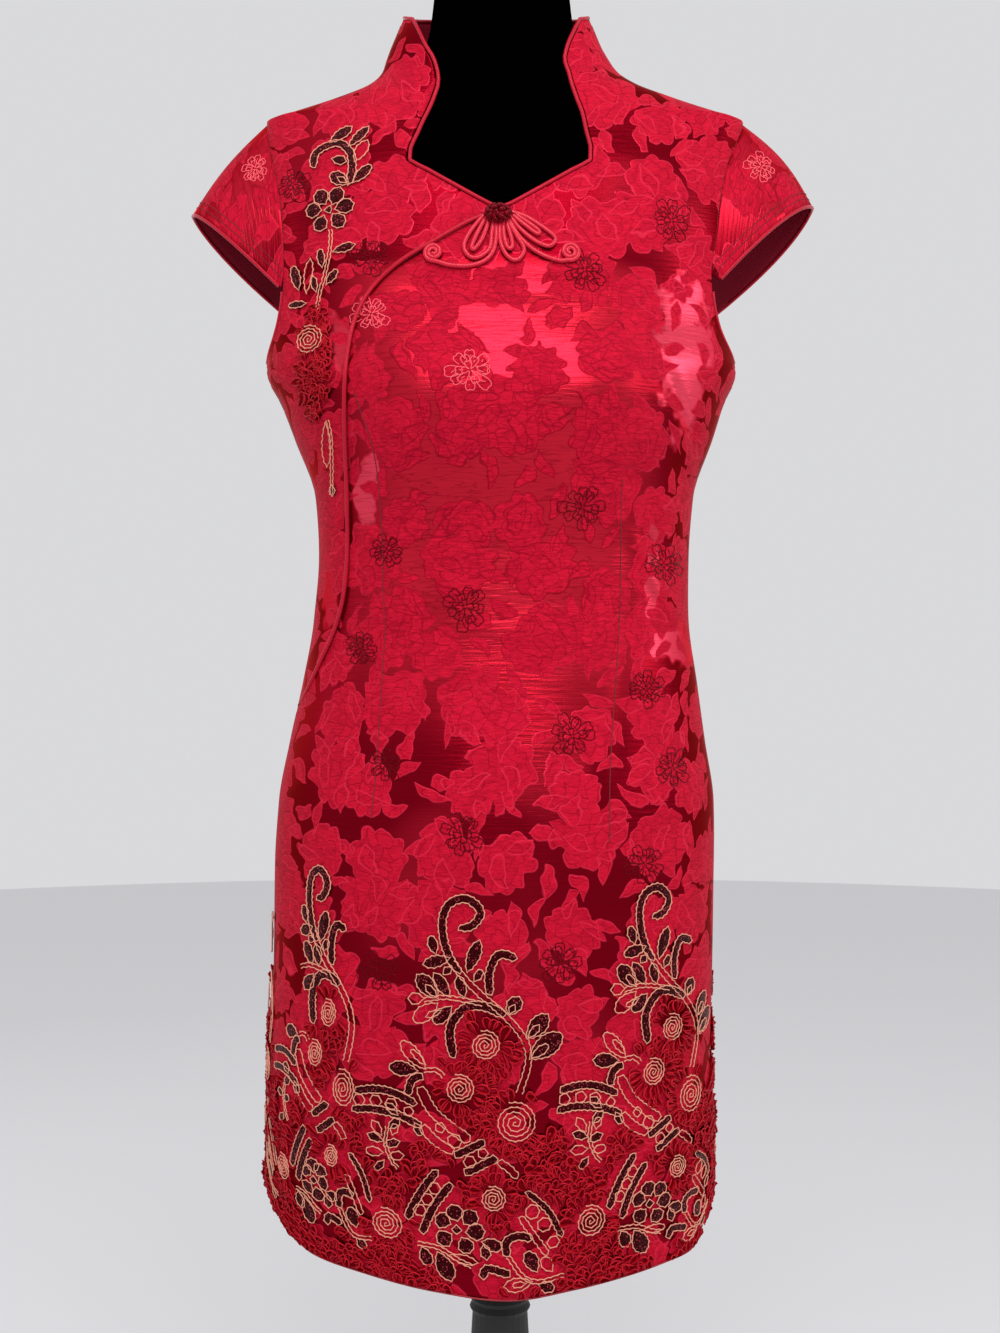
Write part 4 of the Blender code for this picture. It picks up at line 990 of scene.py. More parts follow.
# The frog's cord is tighter satin, so its highlight is narrower and lighter.
CORD = Finish("satin_cord", "#be1a32", 0.26, specular=1.0, tint="#ff8890", grain=0.00006)
# Woven outlines of the small flowers: almost black on the red; the pale copy below is a painted highlight,
# the same outline where it catches the light.
OUTLINE = Finish("satin_float_outline", "#5a0510", 0.35, specular=0.4, tint="#ff5064")
FLOAT = Finish("satin_float_lit", "#ee5262", 0.4, specular=0.4)
# Turned edges and seams read as thin dark lines.
HEM = Finish("rolled_hem", "#9a0c20", 0.55, grain=0.0001)
# The seam red is partly the seams' own dark joints and stitches and partly painted shade in their grooves;
# beside the placket's piping it is a painted shadow alone.
SEAM = Finish("seam_shadow", "#6d0614", 0.8)
# Cotton thread: matte, warm and pale, with a fine twist.
CREAM = Finish("cream_chain_stitch", "#dc947c", 0.62, specular=0.2, grain=0.00025, grain_size=0.0016)
# Packed seed beads: dark, with small red sparks painted in as glints.
BEADING = Finish(
    "maroon_seed_beads", "#3a040c", 0.34, specular=0.32, tint="#ff4c54", grain=0.0005, grain_size=0.0015,
    mottle=0.8, painted_glint="#b4424e",
)
# Gathered ribbon: deep red in its folds, and a lighter red along the top edge of each loop, a painted
# highlight where the ribbon catches the light.
RUCHE = Finish("ruched_satin_ribbon", "#8a0210", 0.40, metallic=0.3, tint="#ff5a66", grain=0.0001)
RIBBON_PAINTED_HIGHLIGHT = Finish("ribbon_edge_painted_highlight", "#b41224", 0.40, metallic=0.2, specular=0.6, tint="#ff7078")
# Polished glass: a sharp small highlight on each bead.
BEAD = Finish("garnet_glass_beads", "#4c040e", 0.05, specular=0.9, tint="#ff3848")
# The form's flock takes all light, and the stand shines faintly.
VELVET = Finish("black_flock", "#010101", 0.95, specular=0.0, grain=0.0002, mottle=0.4)
LACQUER = Finish("black_lacquered_wood", "#020202", 0.20, specular=0.3, coat=0.25)
STEEL = Finish("black_powder_coat", "#040404", 0.45, specular=0.25, grain=0.00006)
# A plain matte floor, as pale as the backdrop.
PALE_FLOOR = Finish("pale_floor", "#e4e4e6", 0.8, grain=0.0002, grain_size=0.03)


class Cloth(NamedTuple):
    """The cut of a panel: its width and length laid flat, and its area."""

    width: float
    length: float
    area: float


@dataclass
class Panels:
    """The front, the side front under the wrap edge, and the back."""

    dress: Dress
    columns: int = 168
    side_columns: int = 56
    collar_turn: float = 1.412
    front_cut: Cloth = Cloth(0.497, 1.046, 0.341)
    side_cut: Cloth = Cloth(0.171, 0.623, 0.056)
    back_cut: Cloth = Cloth(0.490, 1.058, 0.425)

    def levels(self, low: float) -> np.ndarray:
        """Ring levels from low to the collar, closer together where the form turns."""
        spans = (
            (HEM_Z, WRAP_LOW_Z, 96), (WRAP_LOW_Z, UNDERARM_Z, 62), (UNDERARM_Z, NECK_POINT_Z, 26),
            (NECK_POINT_Z, SHOULDER_TIP_Z, 24), (SHOULDER_TIP_Z, self.collar_turn, 20),
            (self.collar_turn, COLLAR_TOP_Z, 12),
        )
        rows = [np.linspace(start, end, count, endpoint=False) for start, end, count in spans if start >= low]
        return np.append(np.concatenate(rows), COLLAR_TOP_Z)

    def panel(self, name: str, low: float, columns: int, edges: Callable, back: bool) -> bpy.types.Object:
        """One panel between two edges.

        Args:
            name: the panel's name.
            low: its lowest level.
            columns: faces across.
            edges: gives the angles of its first and last edge at levels.
            back: whether it lies on the back.

        Returns:
            The panel, with its thickness.
        """
        levels = self.levels(low)

        def place(across: np.ndarray, up: np.ndarray) -> tuple:
            """Points and metres of the panel."""
            level = np.interp(up * (len(levels) - 1), np.arange(len(levels)), levels)
            first, last = edges(level)
            deg = first + (last - first) * across
            shift = BACK_SHIFT if back else 0.0
            metres = np.column_stack([self.dress.arc(deg, level, back), level + shift])
            return self.dress.point(deg, level, back), metres

        made = grid_piece(name, columns, len(levels) - 1, place)
        thicken(made, CLOTH)
        return made

    def front_edges(self, level: np.ndarray) -> tuple:
        """The wrap edge and then the neckline, and the +X side."""
        inner = np.where(level < NECK_POINT_Z, self.dress.wrap_angle(level), self.dress.neck_angle(level))
        return np.where(level < WRAP_LOW_Z, -90.0, inner), self.dress.arm_angle(level, False)

    def side_edges(self, level: np.ndarray) -> tuple:
        """The -X side, and the wrap edge and then the neckline."""
        inner = np.where(level < NECK_POINT_Z, self.dress.wrap_angle(level), -self.dress.neck_angle(level))
        return -self.dress.arm_angle(level, False), inner - 0.1

    def back_edges(self, level: np.ndarray) -> tuple:
        """The +X side and the -X side."""
        side = self.dress.arm_angle(level, True)
        return side, -side

    def build(self) -> None:
        """Makes the three panels."""
        front = self.panel("front_panel", HEM_Z, self.columns, self.front_edges, False)
        side = self.panel("side_front_panel", WRAP_LOW_Z, self.side_columns, self.side_edges, False)
        back = self.panel("back_panel", HEM_Z, self.columns, self.back_edges, True)
        pieces = (
            (front, "front", self.front_cut),
            (side, "side_front", self.side_cut),
            (back, "back", self.back_cut),
        )
        for made, solid, cut in pieces:
            link(made, BROCADE, solid, slot="red_brocade")
            made.data.materials.append(WRONG_SIDE.material())


@dataclass
class CapSleeves:
    """The two cap sleeves, with their hem bindings."""

    dress: Dress
    columns: int = 56
    rows: int = 14
    binding: float = 0.0014
    overlap: float = 0.0005
    stitch_rows: tuple = (0.006, 0.011)
    least_depth: float = 0.013
    cuts: tuple = (Cloth(0.291, 0.096, 0.0142), Cloth(0.295, 0.089, 0.0147))

    def seam(self, share: np.ndarray, sign: int) -> np.ndarray:
        """The armhole edge, seen on +X, from the front notch (-1) over the shoulder back (1)."""
        rise = np.sin(0.5 * np.pi * (1 - np.abs(share)))
        level = SLEEVE_NOTCH_Z + (SHOULDER_TIP_Z - SLEEVE_NOTCH_Z) * rise
        front = self.dress.point(sign * self.dress.arm_angle(level, False), level, False)
        rear = self.dress.point(sign * self.dress.arm_angle(level, True), level, True)
        points = np.where((share > 0)[..., None], rear, front) * (sign, 1, 1)
        return points + (SLEEVE_SEAM_GAP, 0, 0)

    def hem(self, share: np.ndarray, fit: SleeveFit) -> np.ndarray:
        """The sleeve's hem on the +X side: its front bows up and its back down."""
        end = np.where((share > 0)[..., None], SLEEVE_BACK_END, np.array(fit.front_end))
        bow = np.where(share > 0, fit.back_bow, fit.front_bow)
        reach = np.abs(share)
        x = fit.tip_x + (end[..., 0] - fit.tip_x) * reach ** (1.5 + bow)
        z = fit.tip_z + (end[..., 2] - fit.tip_z) * reach ** (1.5 - bow)
        swing = (1 - (1 - reach) ** 2) ** 0.8
        return np.stack([x, SLEEVE_TIP_Y + (end[..., 1] - SLEEVE_TIP_Y) * swing, z], axis=-1)

    def point(self, share: np.ndarray, drop: np.ndarray, fit: SleeveFit) -> np.ndarray:
        """The outer surface on the +X side, from the seam (drop 0) to the hem (1)."""
        share, drop = np.broadcast_arrays(np.asarray(share, float), np.asarray(drop, float))
        seam, hem = self.seam(share, fit.sign), self.hem(share, fit)
        crown = fit.crown * np.sin(np.pi * drop) * (1 - share**2)
        outward, upward = np.full(share.shape, 0.75), np.full(share.shape, 0.62)
        bulge = unit(np.stack([outward, 0.25 * share, upward], axis=-1))
        return seam + (hem - seam) * drop[..., None] + bulge * crown[..., None]

    def normal(self, share: np.ndarray, drop: float, fit: SleeveFit) -> np.ndarray:
        """Outward unit normals on the +X side."""
        around = self.point(np.minimum(share + 0.02, 1), drop, fit) - self.point(
            np.maximum(share - 0.02, -1), drop, fit
        )
        down = self.point(share, min(drop + 0.02, 1), fit) - self.point(share, max(drop - 0.02, 0), fit)
        made = unit(np.cross(down, around))
        return np.where(made[..., :1] < 0, -made, made)

    def sleeve(self, fit: SleeveFit) -> None:
        """Makes one sleeve."""

        def place(across: np.ndarray, up: np.ndarray) -> tuple:
            """Points and metres of the sleeve."""
            share = fit.sign * (2 * across - 1)
            drop = 1 - up
            points = self.point(share, drop, fit) * (fit.sign, 1, 1)
            depth = 0.075 * drop * (1 - share**2)
            return points, np.column_stack([share * 0.15, 6.15 + fit.sign - depth])

        made = grid_piece(f"cap_sleeve_{fit.name}", self.columns, self.rows, place)
        thicken(made, CLOTH * 0.8)
        link(made, BROCADE, f"sleeve_{fit.name}", slot="red_brocade")
        made.data.materials.append(WRONG_SIDE.material())
        cut = self.cuts[SLEEVES.index(fit)]

    def build(self) -> None:
        """Makes the sleeves, their bindings and the two rows of stitches above each."""
        for fit in SLEEVES:
            self.sleeve(fit)
            share = np.linspace(-0.985, 0.985, 60)
            mirror = (fit.sign, 1, 1)
            inside = self.normal(share, 1.0, fit)
            hem = self.point(share, 1.0, fit) - inside * 0.0006
            down = unit(hem - self.point(share, 0.9, fit))
            path = (hem + down * (self.binding - self.overlap)) * mirror
            trim(f"sleeve_binding_{fit.name}", path, self.binding)
            start = self.point(share, 0.0, fit)
            rows = [Thread((start + inside * 0.0002) * mirror)]
            length = np.linalg.norm(hem - start, axis=1)
            for above in self.stitch_rows:
                drop = 1 - above / np.maximum(length, self.least_depth)
                lift = self.point(share, drop, fit) + self.normal(share, 0.9, fit) * 0.00015
                rows.append(Thread(lift * mirror))
            link(cords(f"sleeve_stitching_{fit.name}", rows, 0.0003, 0), SEAM)


def beside(edge: np.ndarray, normals: np.ndarray, reach: float, sink: float) -> np.ndarray:
    """A line beside a cloth edge, to the edge's left seen from outside.

    Args:
        edge: points of the edge.
        normals: the cloth's normals there.
        reach: how far to the side.
        sink: how far under the surface.

    Returns:
        The line's points.
    """
    ways = unit(np.diff(edge, axis=0))
    before = np.vstack([ways[:1], ways])
    after = np.vstack([ways, ways[-1:]])
    left, right = unit(np.cross(normals, before)), unit(np.cross(normals, after))
    middle = unit(left + right)
    return edge + middle * (reach / np.sum(middle * left, axis=1, keepdims=True)) - normals * sink


@dataclass
class Piping:
    """The neckline's and collar's piping, the placket's, and the bindings under the arms."""

    dress: Dress
    neck: float = 0.0016
    placket: float = 0.0017
    binding: float = 0.0014
    sink: float = 0.0007
    settle: float = 9.0

    def half_neck(self, sign: int) -> np.ndarray:
        """One side of the neck piping, from beside the neck point to beside the centre back."""
        knots = (
            NECK_POINT_Z, 1.288, 1.299, 1.311, NECK_CORNER_Z - 0.002, NECK_CORNER_Z + 0.002, 1.333, 1.347,
            1.360, SHOULDER_TIP_Z, 1.380, 1.388, COLLAR_BASE_Z, 1.412, 1.424, 1.4355, 1.450,
        )
        halves = np.linspace(0, len(knots) - 1, 2 * len(knots) - 1)
        levels = np.interp(halves, np.arange(len(knots)), knots)
        deg = sign * self.dress.neck_angle(levels)
        mirror = (sign, 1, 1)
        edge = self.dress.point(deg, levels, False) * mirror
        normals = self.dress.normal(deg, levels, False) * mirror
        reach = self.neck + 2 * SEAM_GAP
        half = beside(edge, normals, reach, self.sink)[1:] * mirror
        corner = float(self.dress.neck_angle(np.array(COLLAR_TOP_Z)))
        rounds = [half]
        for back, first, last in ((False, corner - 1.5, 88.0), (True, 84.0, 4.0)):
            turn = sign * np.linspace(first, last, 14)
            top = np.full(14, COLLAR_TOP_Z)
            inward = self.dress.normal(turn, top, back) * self.sink
            rounds.append(self.dress.point(turn, top, back) - inward + (0, 0, reach - 0.0011))
        return np.vstack(rounds)

    def edges(self) -> None:
        """Makes the rolled edges of the hem and slits, and the seams of the sides and shoulders."""
        rolled, seams = [], []
        turn = np.linspace(-90, 90, 120)
        up = np.linspace(HEM_Z, SLIT_TOP_Z, 30)
        for back in (False, True):
            rolled.append(Thread(self.dress.stand_off(turn, np.full(120, HEM_Z), -0.0004, back)))
            for side in (-90.0, 90.0):
                rolled.append(Thread(self.dress.point(np.full(30, side), up, back)))
        for side in (-90.0, 90.0):
            for low, high in ((SLIT_TOP_Z, UNDERARM_Z), (SHOULDER_TIP_Z, 1.452)):
                rise = np.linspace(low, high, 60)
                line = self.dress.point(np.full(60, side), rise, False)
                outward = np.array((math.copysign(0.0002, side), 0.0, 0.0))
                seams.append(Thread(line + outward))
        link(cords("hem_roll", rolled, 0.0008, 1), HEM)
        link(cords("side_and_shoulder_seams", seams, 0.0004, 0), SEAM)

    def wrap(self) -> None:
        """Makes the placket's piping, which settles onto the cloth at its lower end, and its shadow."""
        edge = smooth_path([(row.value, row.at) for row in WRAP_EDGE], 90)[3:-2]
        settled = np.clip(np.arange(len(edge)) / self.settle, 0, 1)
        off = (self.placket + 0.0014) * settled - 0.0008
        trim("placket_piping", self.dress.seen(edge[:, 0], edge[:, 1], off), self.placket)
        shade = self.dress.seen(edge[:, 0] - 0.0022, edge[:, 1] - 0.0022, 0.0002)
        link(cords("placket_shadow", [Thread(shade)], 0.0005, 0), SEAM)

    def darts(self) -> None:
        """Makes the front's dart lines."""
        rows = [smooth_path(row, 60) for row in DARTS]
        lines = [Thread(self.dress.seen(flat[:, 0], flat[:, 1], 0.00005)) for flat in rows]
        link(cords("dart_seams", lines, 0.00042, 0), SEAM)

    def armhole(self, name: str, sign: int) -> None:
        """Makes the binding under one arm."""
        levels = np.linspace(1.173, 1.225, 14)
        mirror = (sign, 1, 1)
        edge, normals = [], []
        for back, rows in ((False, levels[::-1]), (True, levels)):
            deg = sign * self.dress.arm_angle(rows, back)
            edge.append(self.dress.point(deg, rows, back) * mirror)
            normals.append(self.dress.normal(deg, rows, back) * mirror)
        reach = self.binding + 2 * SEAM_GAP
        path = beside(np.vstack(edge), np.vstack(normals), reach, self.sink)
        trim(f"armhole_binding_{name}", path * mirror, self.binding)

    def build(self) -> None:
        """Makes the pipings, the dart and seam lines, and the bindings under the arms."""
        low = self.dress.point(np.array(0.0), np.array(NECK_POINT_Z), False) + (0, 0.0007, 0.0034)
        path = np.vstack([low[None], self.half_neck(1), self.half_neck(-1)[::-1]])
        trim("neck_piping", path, self.neck, closed=True)
        self.wrap()
        self.darts()
        self.edges()
        for name, sign in (("left", -1), ("right", 1)):
            self.armhole(name, sign)


class Cord(NamedTuple):
    """A cord of the frog: the solid that it stands for, its knots in chart units and any coil."""

    solid: str
    knots: tuple
    coil: tuple = ()


FROG_CORDS = (
    Cord(
        "frog_loop_far_left",
        (
            (-10, 3), (-19, -4), (-31, -20), (-36, -33), (-32, -43), (-25, -46), (-17, -43),
            (-10, -35), (-8, -18), (-6, -6),
        ),
    ),
    Cord("frog_loop_inner_left", ((-12, 0), (-21, -16), (-28, -33), (-26, -37), (-18, -26), (-11, -6))),
    Cord(
        "frog_loop_right",
        ((0, -6), (0, -26), (5, -41), (13, -48), (20, -46), (24, -36), (17, -23), (7, -5)),
    ),
    Cord("frog_loop_right", ((3, -6), (4, -22), (7, -34), (11, -36), (12, -28), (6, -6))),
    Cord(
        "frog_loop_far_right",
        ((12, 3), (26, -2), (43, -13), (54, -22), (55, -28), (48, -33), (34, -27), (20, -15), (10, -2)),
    ),
    Cord("frog_loop_far_right", ((13, -1), (25, -11), (37, -20), (39, -17), (29, -9), (16, 0))),
    Cord(
        "frog_tail_left", ((-4, -4), (-4, -26), (-8, -41), (-17, -50), (-32, -54), (-50, -53), (-63, -49)),
        (-66.5, -39.0, 9.0, -0.62, -1),
    ),
    Cord(
        "frog_tail_right", ((9, -6), (19, -23), (32, -36), (46, -44), (60, -48)),
        (70.0, -38.0, 9.6, -0.60, 1),
    ),
)


@dataclass
class Frog:
    """The knotted closure: a fan of loops, two coiled tails and a cluster of faceted beads."""

    dress: Dress
    cord: float = 0.00180
    bead: float = 0.0021
    bead_count: int = 30
    cluster: tuple = (0.0090, 0.0042, 0.0060)
    golden_turn: float = 2.39996
    coil_turns: float = 2.1
    middle: tuple = (0.0, 1.2733)

    def path(self, row: Cord) -> np.ndarray:
        """The cord's middle line on the dress."""
        knots = list(row.knots)
        if row.coil:
            x, y, radius, first, way = row.coil
            share = np.linspace(0, 1, 30)
            turn = np.pi * (first + 2 * way * self.coil_turns * share)
            reach = radius * (1 - 0.82 * share)
            knots += list(np.column_stack([x + reach * np.cos(turn), y + reach * np.sin(turn)]))
        flat = smooth_path(knots, 130 if row.coil else 50) * CHART + self.middle
        return self.dress.seen(flat[:, 0], flat[:, 1], self.cord + 0.0004)

    def build(self) -> None:
        """Makes the frog."""
        for solid in dict.fromkeys(row.solid for row in FROG_CORDS):
            lines = [Thread(self.path(row)) for row in FROG_CORDS if row.solid == solid]
            link(cords(f"{solid}_cord", lines, self.cord, 3), CORD, solid, slot="red_satin_piping")
        shape = bmesh.new()
        middle = self.dress.point(np.array(0.0), np.array(1.270), False) + (-0.0014, -0.0060, 0.0042)
        wide, deep, tall = self.cluster
        for k in range(self.bead_count):
            height = 1 - 2 * (k + 0.5) / self.bead_count
            turn = self.golden_turn * k
            flat = math.sqrt(1 - height * height)
            away = Vector((wide * flat * math.cos(turn), -deep * abs(flat * math.sin(turn)), tall * height))
            new = bmesh.ops.create_icosphere(shape, subdivisions=2, radius=self.bead)["verts"]
            bmesh.ops.translate(shape, verts=new, vec=Vector(middle) + away)
        mesh = bpy.data.meshes.new("frog_bead_cluster")
        shape.to_mesh(mesh)
        shape.free()
        mesh.shade_smooth()
        link(bpy.data.objects.new("frog_bead_cluster", mesh), BEAD, "frog_button", slot="garnet_beads")


@dataclass
class DressForm:
    """The smooth black torso, and the finishes of the turned stand under it."""

    columns: int = 112
    rows: int = 150

    def build(self) -> None:
        """Makes the torso closed all round, and dresses the stand's solids."""
        curves = {key: Column(FORM, 0, key) for key in (1, 2, 3, 4)}
        keys = np.array([ring.level for ring in FORM])

        def place(across: np.ndarray, up: np.ndarray) -> tuple:
            """Points of the form's skin."""
            level = np.interp(up * (len(keys) - 1), np.arange(len(keys)), keys)
            angle = 2 * np.pi * across
            ahead = np.cos(angle)
            front = curves[2](level) * np.maximum(ahead, 0) ** FRONT_SQUARE
            rear = -curves[3](level) * np.maximum(-ahead, 0) ** BACK_SQUARE
            depth = np.where(ahead > 0, front, rear)
            x = curves[4](level) + curves[1](level) * np.sin(angle)
            return np.column_stack([x, -depth, level]), np.column_stack([angle * 0.15, level])

        made = grid_piece("form_skin", self.columns, self.rows, place)
        shape = bmesh.new()
        shape.from_mesh(made.data)
        bmesh.ops.remove_doubles(shape, verts=shape.verts, dist=1e-6)
        bmesh.ops.holes_fill(shape, edges=[edge for edge in shape.edges if edge.is_boundary])
        bmesh.ops.recalc_face_normals(shape, faces=shape.faces)
        shape.to_mesh(made.data)
        shape.free()
        link(made, VELVET, "form_torso", slot="black_velvet")
        stand = {"neck_cap": LACQUER, "foot_plate": LACQUER, "post": LACQUER, "pole": STEEL, "base": STEEL}
        for name, finish in stand.items():
            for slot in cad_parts[name].material_slots:
                slot.material = finish.material()


class Fill(Enum):
    """What an applique shape holds inside its cream outline."""

    BEADED = "dark beads"
    OPEN = "bare cloth"
    NESTED = "dark beads round a small loop"


class Leaf(NamedTuple):
    """A leaf, petal or round of the chart: from its stalk to its tip, in chart units."""

    x: float
    y: float
    tip_x: float
    tip_y: float
    width: float
    fill: Fill = Fill.BEADED


class Band(NamedTuple):
    """A curved bar of the chart through its knots."""

    width: float
    knots: tuple
    fill: Fill = Fill.BEADED


class Dot(NamedTuple):
    """A small ring, or the middle of a spiral."""

    x: float
    y: float
    radius: float


HEM_LEAVES = (
    Leaf(-27, 45, -33, 64, 10), Leaf(-13, 42, -40, 35, 12), Leaf(-11, 34, -19, 26, 8),
    Leaf(4, 28, 16, 60, 13), Leaf(11, 19, 19, 31, 8),
    Leaf(-24, 2, -46, 25, 17, Fill.NESTED), Leaf(-12, 3, -29, 27, 12), Leaf(2, 3, -5, 25, 11),
    Leaf(-38, 1, -54, 1, 12, Fill.OPEN), Leaf(-24, -3, -48, -22, 16, Fill.OPEN),
    Leaf(-20, -10, -36, -17, 6, Fill.OPEN), Leaf(-10, -6, -28, -23, 14),
    Leaf(46, -14, 56, 4, 16, Fill.NESTED), Leaf(65, -38, 85, -14, 18, Fill.NESTED),
    Leaf(68, -58, 100, -34, 22, Fill.NESTED),
    Leaf(-34, -70, -60, -42, 14, Fill.OPEN), Leaf(-34, -66, -50, -50, 6, Fill.OPEN),
    Leaf(-42, -72, -72, -69, 15),
    Leaf(-62, -119, -74, -107, 9), Leaf(-45, -125, -38, -138, 9), Leaf(-72, -134, -60, -122, 9),
    Leaf(-79, -142, -89, -127, 9, Fill.OPEN), Leaf(-77, -148, -94, -142, 9), Leaf(-77, -152, -60, -146, 9),
    Leaf(-77, -160, -96, -160, 10, Fill.OPEN), Leaf(-72, -163, -56, -160, 9, Fill.OPEN),
    Leaf(-76, -168, -86, -180, 8), Leaf(-68, -140, -64, -128, 8, Fill.OPEN),
    Leaf(-8, -236, -22, -246, 17), Leaf(-9, -226, -24, -220, 17), Leaf(-2, -222, -8, -206, 17),
    Leaf(4, -224, 16, -211, 17), Leaf(6, -232, 25, -230, 17), Leaf(2, -238, 10, -253, 16),
    Leaf(-3, -226, -3, -235, 9),
    Leaf(-38, -253, -30, -272, 13), Leaf(-22, -256, -8, -284, 18),
    Leaf(-12, -258, 18, -262, 9, Fill.OPEN),
    Leaf(22, -240, 42, -246, 13), Leaf(24, -242, 27, -258, 10),
    Leaf(77, -272, 66, -250, 14), Leaf(72, -281, 44, -284, 14, Fill.OPEN),
    Leaf(66, -282, 52, -283, 6, Fill.OPEN),
    Leaf(78, -284, 94, -293, 11), Leaf(92, -274, 82, -258, 11, Fill.OPEN),
)
HEM_BANDS = (
    Band(8, ((-5, 72), (8, 74), (17, 88), (3, 101), (-14, 96), (-21, 80), (-19, 58), (-11, 38), (-2, 28))),
    Band(8, ((27, 6), (26, 28), (35, 46), (53, 42))),
    Band(9, ((43, -14), (20, -5), (2, -8), (-11, -28), (-7, -57))),
    Band(8, ((-37, -76), (-48, -82), (-52, -97))),
    Band(8, ((-108, -98), (-86, -94), (-66, -96), (-43, -106))),
    Band(8, ((-111, -118), (-88, -115), (-60, -119), (-38, -128))),
    Band(10, ((-40, -88), (-28, -110), (-13, -124), (10, -140)), Fill.OPEN),
    Band(9, ((-38, -128), (-24, -142), (-6, -152)), Fill.OPEN),
    Band(8, ((-5, -156), (25, -140))),
    Band(8, ((5, -173), (37, -156))),
    Band(7, ((38, -160), (48, -166), (57, -176)), Fill.OPEN),
    Band(8, ((-53, -226), (-40, -198), (-22, -172))),
    Band(8, ((-38, -239), (-26, -210), (-8, -184))),
    Band(6, ((66, -190), (88, -212), (102, -240))),
    Band(6, ((60, -215), (74, -236), (87, -256)), Fill.OPEN),
    Band(8, ((47, -254), (46, -240), (58, -234), (72, -238))),
    Band(8, ((22, -277), (28, -267), (50, -272))),
)
HEM_STEMS = (
    Band(6, ((-11, 38), (0, 24), (14, 10), (28, -2), (42, -14))),
    Band(6, ((42, -14), (55, -28), (65, -44), (67, -64), (59, -92))),
    Band(4, ((-38, 0), (-18, 3), (0, 1), (20, -3))),
    Band(4, ((-36, -71), (-24, -70), (-16, -76))),
    Band(3, ((-73, -132), (-75, -150), (-68, -168), (-62, -174))),
    Band(4, ((-42, -250), (-20, -252), (0, -262), (12, -266))),
    Band(4, ((48, -254), (62, -274), (78, -282), (104, -280))),
)
HEM_RINGS = (
    Dot(-103, -107, 6), Dot(-85, -106, 6), Dot(-69, -108, 6), Dot(-51, -114, 5), Dot(-19, -128, 5),
    Dot(-5, -141, 7), Dot(10, -161, 6), Dot(23, -152, 5), Dot(-40, -215, 6), Dot(-32, -203, 6),
    Dot(-25, -191, 6), Dot(72, -211, 7), Dot(84, -225, 7), Dot(93, -244, 6),
)
HEM_SPIRALS = (
    Dot(24, -44, 15), Dot(0, -88, 15), Dot(55, -121, 21), Dot(33, -197, 13), Dot(-74, -235, 17),
)
HEM_WINDOWS = (
    Dot(-75, -146, 26), Dot(-20, -180, 17), Dot(15, -282, 24), Dot(-10, -205, 16), Dot(92, -110, 24),
    Dot(-55, -108, 20), Dot(60, -265, 18),
)
VINE_ORIGIN = (-0.1315, 1.2840)
VINE_LEAVES = (
    Leaf(-1, 75, 22, 92, 12), Leaf(19, 68, 40, 91, 10), Leaf(2, 56, 18, 51, 10),
    Leaf(26, 50, 39, 74, 13, Fill.OPEN),
    Leaf(25, 27, 44, 45, 11), Leaf(21, 26, 1, 39, 14, Fill.NESTED),
    Leaf(-3, 6, -12, 22, 16), Leaf(4, 5, 12, 23, 16), Leaf(7, 0, 27, 4, 16), Leaf(5, -5, 16, -20, 15),
    Leaf(-4, -6, -11, -22, 15), Leaf(-7, 0, -24, 2, 16), Leaf(-4, 0, 4, 0, 8),
    Leaf(5, -46, 29, -40, 9), Leaf(-5, -62, -8, -41, 8), Leaf(-1, -80, 11, -65, 8),
    Leaf(-30, -82, -37, -55, 10),
    Leaf(-22, -87, -18, -50, 9, Fill.OPEN), Leaf(-11, -87, -16, -68, 7), Leaf(-21, -97, -42, -96, 7),
    Leaf(0, -220, -1, -262, 10, Fill.OPEN), Leaf(4, -280, 4, -292, 6),
)
VINE_BANDS = (Band(8, ((-17, 48), (-16, 63), (-5, 71), (10, 73), (22, 60), (24, 40), (20, 25))),)
VINE_STEMS = (
    Band(3, ((3, -22), (3, -40), (-1, -65), (-7, -87), (-10, -105))),
    Band(3, ((2, -218), (5, -240), (3, -290))),
)
VINE_SPIRALS = (Dot(-17, -137, 15),)


class Unit(NamedTuple):
    """A repeat of the hem chart: metres round the cloth and the level of its middle."""

    u: float
    level: float
    squeeze: float
    back: bool


UNITS = (
    Unit(-0.232, 0.700, 0.62, False), Unit(-0.138, 0.703, 0.62, False), Unit(-0.022, 0.685, 1.0, False),
    Unit(0.127, 0.690, 0.92, False), Unit(0.262, 0.695, 0.69, False), Unit(-0.205, 0.690, 0.97, True),
    Unit(-0.062, 0.687, 1.0, True), Unit(0.082, 0.687, 1.0, True), Unit(0.226, 0.692, 0.97, True),
)


